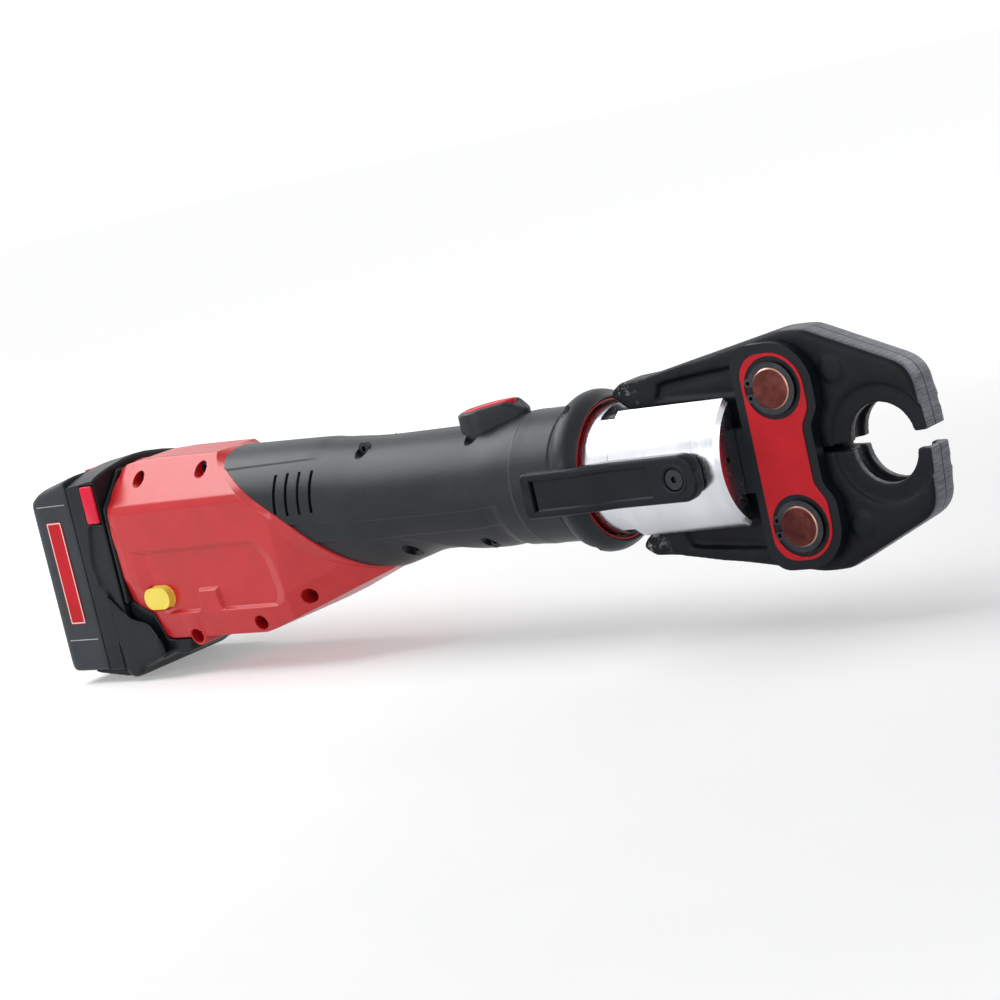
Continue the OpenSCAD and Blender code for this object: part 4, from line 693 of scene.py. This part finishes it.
# Handle
HANDLE_FRONT, HANDLE_REAR = -190.2, -397.0
HANDLE_COLUMNS, SEAM_TURN = 235, 0.0012
HANDLE_LINE = [(-400, 34.4), (-388, 34.2), (-345, 33.1), (-322, 32.4), (-300, 32.0), (-212, 31.9),
               (-204, 32.3), (-197, 32.8), (-190, 33.2)]
HANDLE_SAG, SAG_FRONT, SAG_REAR = 2.0, (-196, -222), (-335, -280)
GRIP_STEP, GRIP_FRONT = 0.65, (-202, -208)
GRIP_LINES = ((-4.7, -5.5), (-15.4, -16.1))
CREST_STEP, CREST_EDGE, CREST_FRONT = 0.5, (25.5, 26.2), (-318, -330)
BELLY_DEPTH, BELLY_FRONT, BELLY_TURN = 6.6, (-266, -303), (0.52 * math.pi, 0.93 * math.pi)
WAVE_DEPTH, WAVE_REAR, WAVE_EDGE = 1.7, (-278, -258), 1.4
WAVE_X, WAVE_Z, WAVE_SLOPE = -245.0, -27.0, 3.0
SEAM_DEPTH, SEAM_WIDTH = 0.5, (0.55, 0.2)
VENTS = [-347.4 + 8.2 * i for i in range(4)]
VENT_HALF, VENT_LOW, VENT_HIGH, VENT_DEPTH = 0.75, 0.3, 20.7, 2.8
HANDLE_SCREWS = [(-294.0, 27.0), (-222.0, 27.0), (-274.0, -27.0), (-223.0, -27.0)]
SCREW_HOLE_R, SCREW_FLOOR_Y = (3.8, 3.5), -11.6


def handle_radius(x):
    return knots(x, HANDLE_LINE)


def handle_belly(x, turn):
    """How far the underside swells towards the rear housing."""
    return BELLY_DEPTH * smooth(*BELLY_FRONT, x) * smooth(*BELLY_TURN, turn)


def handle_skin(x, turn):
    """Points of the near half, with grip steps, a slanting wave below, vents and screw holes.

    turn runs from the top, 0, to the bottom, pi.
    """
    r = handle_radius(x)
    z = r * np.cos(turn)
    grip = smooth(*GRIP_FRONT, x)
    for line in GRIP_LINES:
        r = r - GRIP_STEP * grip * ramp(*line, z)
    r = r + CREST_STEP * smooth(*CREST_EDGE, z) * smooth(*CREST_FRONT, x)
    r = r + handle_belly(x, turn)
    wave = x - WAVE_X + WAVE_SLOPE * (z - WAVE_Z)
    below = smooth(*BELLY_TURN, turn) * smooth(*WAVE_REAR, x)
    r = r - WAVE_DEPTH * below * ramp(WAVE_EDGE, -WAVE_EDGE, wave)
    gap = r * np.minimum(turn, math.pi - turn)
    r = r - SEAM_DEPTH * smooth(*SEAM_WIDTH, gap)
    y = -r * np.sin(turn)
    z = r * np.cos(turn) - HANDLE_SAG * smooth(*SAG_FRONT, x) * smooth(*SAG_REAR, x)
    for vent in VENTS:
        slot = np.maximum(np.abs(x - vent) - VENT_HALF, np.maximum(VENT_LOW - z, z - VENT_HIGH))
        y = y + VENT_DEPTH * ramp(0.14, -0.14, slot) * (turn < 0.6 * math.pi)
    for sx, sz in HANDLE_SCREWS:
        hole = ramp(*SCREW_HOLE_R, np.hypot(x - sx, z - sz))
        y = y + hole * np.maximum(SCREW_FLOOR_Y - y, 0.0)
    return np.stack([x, y, z], -1)


def build_handle():
    """Two mirrored halves that meet at a seam along the top and the bottom."""
    spans = around([sx for sx, _ in HANDLE_SCREWS], 4.6) + around(VENTS, 1.5)
    xs = samples(HANDLE_REAR, HANDLE_FRONT, 0.9, 0.25, spans)
    turns = np.linspace(SEAM_TURN, math.pi - SEAM_TURN, HANDLE_COLUMNS)
    near = handle_skin(*np.meshgrid(xs, turns, indexing="ij"))
    for side, sign in (("near", 1.0), ("far", -1.0)):
        add_grid("handle_" + side, near * np.array([1.0, sign, 1.0]), "black_plastic", "body",
                 ["handle_shell_" + side], sharp=50, finish=HANDLE_FINISH)


# Red rear housing
HOUSING_REAR = -470.9
HOUSING_ROWS, LIP_ROWS, LIP_FROM, HOUSING_COLUMNS = 195, 42, 0.9, 390
HOUSING_TOP = [(-471, 33.4), (-467, 34.7), (-458, 35.9), (-440, 36.4), (-415, 35.9), (-392, 35.3),
               (-363, 34.8), (-288, 33.0)]
HOUSING_LOW = [(-471, -38.6), (-466, -42.0), (-457.5, -46.2), (-455.5, -48.5), (-452.0, -57.5),
               (-450.3, -60.4), (-447, -61.5), (-376, -61.5), (-370, -60.2), (-353, -55.3),
               (-321, -45.2), (-290, -35.4), (-285, -34.6)]
HOUSING_HALF = [(-471, 34.4), (-466, 35.0), (-353, 35.0), (-288, 13.5)]
REAR_EASE = [(-471, 0.6), (-466, 0.0)]
TOP_HALF, FACET_FOOT, SIDE_HEAD, SIDE_FOOT = 15.0, 15.0, 11.0, -48.0
FACET_IN, SIDE_IN, BELOW_IN, BELOW_RISE = 1.4, 0.8, 4.0, 14.0
SECTION_STOPS = (0.0, 0.13, 0.36, 0.40, 0.76, 0.90, 1.0)
LUG_X, LUG_Z, LUG_R = -427.0, -60.3, 6.0
LIP = [(-60, -288), (-34, -288), (-32.2, -300), (-31, -305), (-26, -313), (0.5, -347), (15.5, -368),
       (27, -386), (33, -390.5), (40, -392)]
LIP_START, LIP_TRIES = -340.0, 12
LIP_BAND, LIP_STEP = 5.0, 0.35
PANEL_DEPTH = 2.4
REAR_BEVEL, CORNER_BEVEL, FRONT_BEVEL, TOP_BEVEL, LEDGE_BEVEL = 8.0, 5.0, 7.0, 3.4, 1.5
PANEL_FROM, PANEL_TO = (0.37, 0.41), (0.93, 0.89)
PANEL_TOP, PANEL_LEDGE = -10.0, -47.0
PANEL_LEFT = [(-47, -459), (-32, -458), (-10, -461)]
PANEL_RIGHT = [(-47, -352), (-10, -358)]
PANEL_CORNER_X, PANEL_HIGH_R, PANEL_LOW_R = -443.0, 15.0, 10.0
RIB = [(-418.5, -49.0), (-416.5, -34.8), (-402.5, -34.8), (-400.5, -49.0)]
RED_SCREWS = [(-452, 27), (-404.5, 28), (-427, -60.5), (-376.7, -55.5), (-341.2, -44.0)]
RED_HOLE_R, RED_HOLE_FLOOR = (4.0, 3.65), 15.0
RELEASE_X, RELEASE_Z = -446.9, -37.5
RELEASE_SEAT_HALF, RELEASE_SEAT_R, RELEASE_SEAT_DEPTH = 3.5, 6.3, 2.2


def housing_section(x, t):
    """Half section of the plain housing at x; t runs from the top middle, 0, to the bottom middle, 1."""
    top, low = knots(x, HOUSING_TOP), knots(x, HOUSING_LOW)
    lug = np.sqrt(np.maximum(LUG_R ** 2 - (x - LUG_X) ** 2, 0.0))
    low = np.where(lug > 0, np.minimum(low, LUG_Z - lug), low)
    wide = knots(x, HOUSING_HALF)
    corners_y = [0 * x, TOP_HALF + 0 * x, wide - FACET_IN, wide, wide - SIDE_IN, wide - BELOW_IN, 0 * x]
    corners_z = [top, top - knots(x, REAR_EASE), np.minimum(FACET_FOOT, top - 3) + 0 * x,
                 np.minimum(SIDE_HEAD, top - 5) + 0 * x, np.maximum(low + BELOW_RISE, SIDE_FOOT), low, low]
    y, z = np.zeros_like(x), np.zeros_like(x)
    last = len(SECTION_STOPS) - 2
    for i, (start, end) in enumerate(zip(SECTION_STOPS, SECTION_STOPS[1:])):
        part = np.clip((t - start) / (end - start), 0.0, 1.0)
        on = (t >= start) & ((t < end) | (i == last))
        y = np.where(on, corners_y[i] + (corners_y[i + 1] - corners_y[i]) * part, y)
        z = np.where(on, corners_z[i] + (corners_z[i + 1] - corners_z[i]) * part, z)
    return y, z


def panel_sink(x, z):
    """Share of the panel's depth: wide bevel at the rear, soft top, crisp ledge below, rib kept."""
    left = ramp(0.0, REAR_BEVEL, x - knots(z, PANEL_LEFT))
    corner = ramp(0.0, CORNER_BEVEL, 0.7 * (x - PANEL_CORNER_X) + 0.7 * (z - PANEL_LEDGE) + 0.5)
    right_edge = knots(z, PANEL_RIGHT) - corner_cut(z - PANEL_TOP + PANEL_HIGH_R, PANEL_HIGH_R)
    right_edge = right_edge - corner_cut(PANEL_LEDGE + PANEL_LOW_R - z, PANEL_LOW_R)
    right = ramp(0.0, FRONT_BEVEL, right_edge - x)
    top = ramp(0.0, TOP_BEVEL, PANEL_TOP - z)
    ledge = ramp(0.0, LEDGE_BEVEL, z - PANEL_LEDGE)
    sunk = np.minimum(np.minimum(left, right), np.minimum(np.minimum(top, ledge), corner))
    return sunk * (1.0 - ramp(0.9, -0.9, outline_distance(x, z, RIB)))


def housing_skin(near):
    """Half of the housing: a front lip that hugs the handle, a sunk side panel and holes for screws."""
    us = np.concatenate([np.linspace(0.0, LIP_FROM, HOUSING_ROWS), np.linspace(LIP_FROM, 1.0, LIP_ROWS)[1:]])
    ts = np.linspace(0.0, 1.0, HOUSING_COLUMNS)
    u, t = np.meshgrid(us, ts, indexing="ij")
    lip = np.full(t.shape, LIP_START)
    for _ in range(LIP_TRIES):
        _, z_lip = housing_section(lip, t)
        lip = 0.5 * lip + 0.5 * knots(z_lip, LIP)
    lip = soften(lip, 6, 1)
    x = HOUSING_REAR + u * (lip - HOUSING_REAR)
    y, z = housing_section(x, t)
    y, z = soften(y, 7, 1), soften(z, 7, 1)
    y = np.where((t <= 0.0) | (t >= 1.0), 0.0, y)
    turn = np.arctan2(y, z)
    hug = handle_radius(x) + handle_belly(x, turn) + LIP_STEP
    rise = soften(ramp(0.0, LIP_BAND, lip - x), 1, 0)
    outer = np.hypot(y, z)
    r = np.where(outer > hug, hug + (outer - hug) * rise, np.maximum(outer, hug))
    y, z = r * np.sin(turn), r * np.cos(turn)
    flat = ramp(*PANEL_FROM, t) * ramp(*PANEL_TO, t)
    y = y - PANEL_DEPTH * panel_sink(x, z) * flat
    for sx, sz in RED_SCREWS:
        hole = ramp(*RED_HOLE_R, np.hypot(x - sx, z - sz)) * (y > RED_HOLE_FLOOR - 1)
        y = y + hole * (RED_HOLE_FLOOR - y)
    if near:
        beside = np.maximum(np.abs(x - RELEASE_X) - RELEASE_SEAT_HALF, 0)
        seat = np.hypot(beside, z - RELEASE_Z) - RELEASE_SEAT_R
        y = y - RELEASE_SEAT_DEPTH * ramp(0.2, -0.2, seat)
    seam = smooth(0.6, 0.2, np.abs(y)) * ((t < 0.1) | (t > 0.9))
    z = z - 0.5 * seam * np.sign(z)
    skin = np.stack([x, -y if near else y, z], -1)
    front = [turned_in(skin[-1], drop, min(drop, 0.3)) for drop in (0.35, 0.9, 2.2)]
    rear = [turned_in(skin[0], drop, -0.15) for drop in (6.0, 1.2)]
    return np.concatenate([np.array(rear), skin, np.array(front)])


def turned_in(edge, drop, ahead):
    """A copy of an edge, drawn in towards the tool's axis and moved ahead."""
    rim = edge.copy()
    rim[:, 1:] *= (1.0 - drop / np.maximum(np.hypot(rim[:, 1], rim[:, 2]), 8.0))[:, None]
    rim[:, 0] += ahead
    return rim


def build_housing():
    for side in ("near", "far"):
        add_grid("housing_" + side, housing_skin(side == "near"), "red_plastic", "body",
                 ["rear_housing_" + side], sharp=50, finish=HOUSING_FINISH)


# Battery pack
CASE_VOXEL = 0.85
CASE_FIRST_PASSES, CASE_PASSES = 3, 30
CASE_JOINT = (-498.0, -502.0)
CASE_POCKET_Z, CASE_POCKET_HALF, CASE_POCKET_REAR = 18.0, 26.0, -528.0
CASE_CROWN = [(0.0, 0.0), (25.0, 0.0), (31.0, -0.6), (37.0, -1.8)]
CASE_TOP = (14.0, 30.0)
CASE_SIDE = 37.0
RULE_HEIGHTS = (20.1, -57.3)
RULE_REAR, RULE_FRONT = -523.0, -500.0
RULE_ROWS = 12
RULE_SECTION = ((-0.4, -0.34), (0.12, -0.2), (0.16, 0.0), (0.12, 0.2), (-0.4, 0.34))


def build_battery_case():
    """Moulded block with broad round edges, but a crisp joint to its cover."""
    points, edges, faces = even_copy("battery_case", CASE_VOXEL)
    points = relax(points, edges, np.full(len(points), SKIN_EASE), CASE_FIRST_PASSES)
    x, y, z = points.T
    pocket = (z > CASE_POCKET_Z) & (np.abs(y) < CASE_POCKET_HALF) & (x > CASE_POCKET_REAR)
    weight = np.where(pocket, 0.08, 0.5 * smooth(*CASE_JOINT, x))
    points = relax(points, edges, weight, CASE_PASSES)
    points[:, 2] += knots(np.abs(points[:, 1]), CASE_CROWN) * smooth(*CASE_TOP, points[:, 2])
    add_piece("battery_block", points, faces, "grey_plastic", "battery", ["battery_case"], sharp=60)


COVER_VOXEL, COVER_PASSES = 0.65, 4
COVER_CROWN = [(0.0, 1.4), (8.0, 1.0), (21.0, -1.0), (30.0, -3.0), (36.6, -5.3)]
COVER_TOP = (22.0, 35.0)
COVER_STEP = [(-61.0, -470.0), (-60.5, -470.0), (-33.0, -484.0), (-28.0, -488.2), (-15.0, -490.6),
              (6.0, -485.6), (6.2, -460.0)]
COVER_STEP_TOP = 7.0
COVER_SIDE, COVER_SUNK = 36.6, 35.0
SKIRT_LOW, SKIRT_HIGH, SKIRT_REACH = -75.0, -31.0, 0.28
SKIRT_FRONT_X, SKIRT_FRONT_Y = -486.0, 35.3
SKIRT_SIDE_X, SKIRT_SIDE_Y = -487.0, 35.2
CAP_X, CAP_Z = (-484.6, -475.3), (7.7, 28.7)
CAP_ROUND, POCKET_GAP, POCKET_DEPTH, POCKET_FROM_Y = 1.2, 0.4, 3.0, 31.0
CAP_STEPS = [(0.0, 36.2), (0.0, 37.1), (0.15, 37.4), (0.5, 37.6)]
CAP_POINTS = 7


def build_battery_cover():
    """Front shell of the battery: crowned top, S shaped steps and pockets for the release caps."""
    points, edges, faces = even_copy("battery_cover", COVER_VOXEL)
    points = relax(points, edges, np.full(len(points), SKIN_EASE), COVER_PASSES)
    x, y, z = points.T
    wide, side = np.abs(y), np.sign(y)
    x = x + SKIRT_REACH * ((x > SKIRT_FRONT_X) & (wide > SKIRT_FRONT_Y) & (z < SKIRT_HIGH))
    z = z + knots(wide, COVER_CROWN) * smooth(*COVER_TOP, z)
    edge = (x > SKIRT_SIDE_X) & (wide > SKIRT_SIDE_Y) & (z < SKIRT_HIGH) & (z > SKIRT_LOW)
    wide = np.where(edge, COVER_SIDE, wide)
    ahead = x - knots(z, COVER_STEP)
    sunk = ramp(-0.3, 0.5, ahead) * (wide > COVER_SUNK - 0.3) * (z < COVER_STEP_TOP)
    wide = wide - np.maximum(wide - COVER_SUNK, 0.0) * sunk
    pocket = np.maximum(np.abs(x - sum(CAP_X) / 2) - (CAP_X[1] - CAP_X[0]) / 2,
                        np.abs(z - sum(CAP_Z) / 2) - (CAP_Z[1] - CAP_Z[0]) / 2)
    wide = wide - POCKET_DEPTH * ramp(POCKET_GAP + 0.35, POCKET_GAP, pocket) * (wide > POCKET_FROM_Y)
    add_piece("battery_front", np.column_stack([x, side * wide, z]), faces, "black_plastic", "battery",
              ["battery_cover"], sharp=50)


def build_release_caps():
    """Red caps in the pockets on both sides of the battery's front shell."""
    rear, front = CAP_X[0] + CAP_ROUND, CAP_X[1] - CAP_ROUND
    low, high = CAP_Z[0] + CAP_ROUND, CAP_Z[1] - CAP_ROUND
    corners = ((front, high, 0), (rear, high, 90), (rear, low, 180), (front, low, 270))
    for name, sign in (("battery_release_near", -1.0), ("battery_release_far", 1.0)):
        loops = []
        for inset, wide in CAP_STEPS:
            plan = []
            for x, z, first in corners:
                plan += arc((x, z), CAP_ROUND - inset, first, first + 90, CAP_POINTS)
            plan = np.array(plan)
            loops.append(np.column_stack([plan[:, 0], np.full(len(plan), sign * wide), plan[:, 1]]))
        add_loops(name + "_cap", loops, "red_button", name, [name])


DOCK_VOXEL = 0.8
DOCK_FIRST_PASSES, DOCK_PASSES = 3, 16
KEEL_ROUND = (-60.0, -66.0)
RIM_REAR, RIM_FOOT, RIM_SCALE = -476.0, 11.0, 0.896
FLANK_REAR, FLANK_LOW, FLANK_HIGH = -482.7, -76.0, -34.0


def build_dock():
    """Dock with a rounded keel, a rim that stays under the housing's top, and crisp flanks and rails."""
    points, edges, faces = even_copy("battery_dock", DOCK_VOXEL)
    points = relax(points, edges, np.full(len(points), SKIN_EASE), DOCK_FIRST_PASSES)
    points = relax(points, edges, 0.5 * smooth(*KEEL_ROUND, points[:, 2]), DOCK_PASSES)
    x, y, z = points.T
    z = np.where((x > RIM_REAR) & (z > RIM_FOOT), RIM_FOOT + RIM_SCALE * (z - RIM_FOOT), z)
    edge = (x < FLANK_REAR) & (np.abs(y) > COVER_SIDE - 1.0) & (z > FLANK_LOW) & (z < FLANK_HIGH)
    points = np.column_stack([x, np.where(edge, np.sign(y) * COVER_SIDE, y), z])
    add_piece("dock_block", points, faces, "black_plastic", "body", ["battery_dock"], sharp=55)


def build_rules():
    """Thin raised lines across both sides of the battery block."""
    points, faces = [], []
    for side in (-1.0, 1.0):
        for z in RULE_HEIGHTS:
            start = len(points)
            for x in np.linspace(RULE_REAR, RULE_FRONT, RULE_ROWS):
                points += [(x, side * (CASE_SIDE + dy), z + dz) for dy, dz in RULE_SECTION]
            cols = len(RULE_SECTION)
            faces += (np.array(grid_faces(RULE_ROWS, cols)) + start).tolist()
            last = start + (RULE_ROWS - 1) * cols
            faces += [[start + i for i in range(cols)], [last + i for i in range(cols)]]
    add_piece("battery_rules", points, faces, "clear_grey", "battery")


# Return spring of the ram
COIL_STEPS, WIRE_POINTS = 24, 10
COIL_TURNS, COIL_WIRE = 4, 1.3
COIL_ROOM = 8.2


def build_return_spring():
    """Coil round the ram's rod, short enough to leave room for the ram's forward stroke."""
    low, high = (np.array(corner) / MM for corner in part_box("return_spring"))
    radius = (high[1] - low[1]) / 2 - COIL_WIRE
    length = high[0] - low[0] - COIL_ROOM
    turn = np.linspace(0.0, 2 * math.pi * COIL_TURNS, COIL_TURNS * COIL_STEPS + 1)[:, None]
    ring = np.linspace(0.0, 2 * math.pi, WIRE_POINTS, endpoint=False)[None, :]
    out = radius + COIL_WIRE * np.cos(ring)
    along = COIL_WIRE * (1 + np.sin(ring)) + (length - 2 * COIL_WIRE) * turn / turn[-1]
    loops = np.stack([low[0] + along, out * np.cos(turn), out * np.sin(turn)], -1)
    add_loops("return_coil", loops, "bright_steel", "ram", ["return_spring"])


for jaw in ("upper_jaw", "lower_jaw"):
    build_jaw(jaw)
build_return_spring()
build_collar()
build_collar_screws()
build_start_button()
build_lever()
build_handle()
build_housing()
build_battery_case()
build_battery_cover()
build_release_caps()
build_dock()
build_rules()


# CAD pieces: soft edges and finishes
SLOT_OF = {part["node"]: part["material_slot"] for part in frame["record"]["subparts"]}
SOFT_EDGE = 0.25
SOFT_EDGES = {"fork_head": 0.5, "side_plate_near": 1.0, "side_plate_far": 1.0, "release_button": 1.6,
              "jaw_pin_upper": 0.4, "jaw_pin_lower": 0.4}
CREASE = math.radians(32)
for node_name, obj in NODES.items():
    slot = SLOT_OF[node_name]
    obj.data.materials.clear()
    obj.data.materials.append(PACK_STICKER if node_name == "battery_label" else FINISHES[slot])
    obj.data.shade_smooth()
    obj.data.set_sharp_from_angle(angle=CREASE)
    bevel = obj.modifiers.new("soft_edges", "BEVEL")
    bevel.width = SOFT_EDGES.get(node_name, SOFT_EDGE) * MM
    bevel.segments = 3
    bevel.limit_method = "ANGLE"
    bevel.angle_limit = CREASE


# Floor, light and camera
FLOOR_HALF, FLOOR_LEVEL = 14.0, -0.0836
FLOOR_NEAR_GLOW, FLOOR_FAR_GLOW = 0.30, 0.80
GLOW_MIDDLE_X, GLOW_SPREAD = -250.0, (350.0, 1500.0)
WORLD_LEVEL = 0.25


def add_floor():
    mesh = bpy.data.meshes.new("floor")
    corners = [(-1, -1), (1, -1), (1, 1), (-1, 1)]
    mesh.from_pydata([(FLOOR_HALF * x, FLOOR_HALF * y, FLOOR_LEVEL) for x, y in corners], [], [(0, 1, 2, 3)])
    floor = bpy.data.objects.new("floor", mesh)
    bpy.context.scene.collection.objects.link(floor)
    f = Finish("floor_paper", 0.0)
    fibre = f.noise(0.02, 3.0, 0.5)
    dx = f.x - GLOW_MIDDLE_X
    far = ((dx * dx + f.y * f.y) ** 0.5).step(*GLOW_SPREAD)
    near_glow = (FLOOR_NEAR_GLOW,) * 3
    far_glow = (FLOOR_FAR_GLOW,) * 3
    glow = f.mix(f.seen(), (0.0, 0.0, 0.0), f.mix(far, near_glow, far_glow))
    f.set(Base_Color=f.mix(fibre, (0.74, 0.74, 0.74), (0.78, 0.78, 0.78)), Roughness=0.9,
          Emission_Color=glow, Emission_Strength=1.0)
    mesh.materials.append(f.material)


def add_world():
    world = bpy.data.worlds.new("studio")
    bpy.context.scene.world = world
    world.use_nodes = True
    n = Nodes(world.node_tree)
    lit = n.node("ShaderNodeBackground", {}, {"Color": (0.96, 0.98, 1.0), "Strength": WORLD_LEVEL})
    white = n.node("ShaderNodeBackground", {}, {"Color": (1.0, 1.0, 1.0), "Strength": 1.0})
    mix = n.node("ShaderNodeMixShader", {}, {0: n.seen(), 1: lit.outputs[0], 2: white.outputs[0]})
    n.node("ShaderNodeOutputWorld", {}, {"Surface": mix.outputs[0]})


def add_lamp(name, at, towards, width, depth, watts):
    data = bpy.data.lights.new(name, "AREA")
    data.shape = "RECTANGLE"
    data.size, data.size_y = width, depth
    data.energy = watts
    lamp = bpy.data.objects.new(name, data)
    bpy.context.scene.collection.objects.link(lamp)
    lamp.location = at
    lamp.rotation_euler = (Vector(towards) - Vector(at)).to_track_quat("-Z", "Y").to_euler()


def add_lamps():
    middle = (-0.22, 0.0, 0.0)
    add_lamp("key_light", (-1.02, -0.2, 0.88), (-0.33, 0.0, 0.0), 1.1, 0.75, 13.0)
    add_lamp("side_light", (-0.5, -1.5, 0.35), middle, 0.9, 0.7, 7.0)
    add_lamp("front_light", (1.2, -0.5, 0.5), (-0.05, 0.0, 0.0), 0.6, 0.9, 3.0)
    add_lamp("back_light", (0.2, 1.2, 0.6), middle, 1.2, 0.5, 3.0)


CAMERA_AT = (0.58116, -0.98014, 0.18335)
CAMERA_RIGHT, CAMERA_BACK = (0.7739, 0.5936, -0.2209), (0.6283, -0.7633, 0.1501)
CAMERA_LENS, CAMERA_SENSOR = 92.78, 36.0


def add_camera():
    data = bpy.data.cameras.new("photo_camera")
    data.sensor_width = CAMERA_SENSOR
    data.lens = CAMERA_LENS
    data.clip_start = 0.01
    camera = bpy.data.objects.new("photo_camera", data)
    bpy.context.scene.collection.objects.link(camera)
    right = Vector(CAMERA_RIGHT).normalized()
    back = Vector(CAMERA_BACK).normalized()
    up = back.cross(right).normalized()
    right = up.cross(back).normalized()
    turn = Matrix((right, up, back)).transposed().to_4x4()
    camera.matrix_world = Matrix.Translation(Vector(CAMERA_AT)) @ turn
    bpy.context.scene.camera = camera


add_floor()
add_world()
add_lamps()
add_camera()
bpy.context.scene.view_settings.view_transform = "Standard"
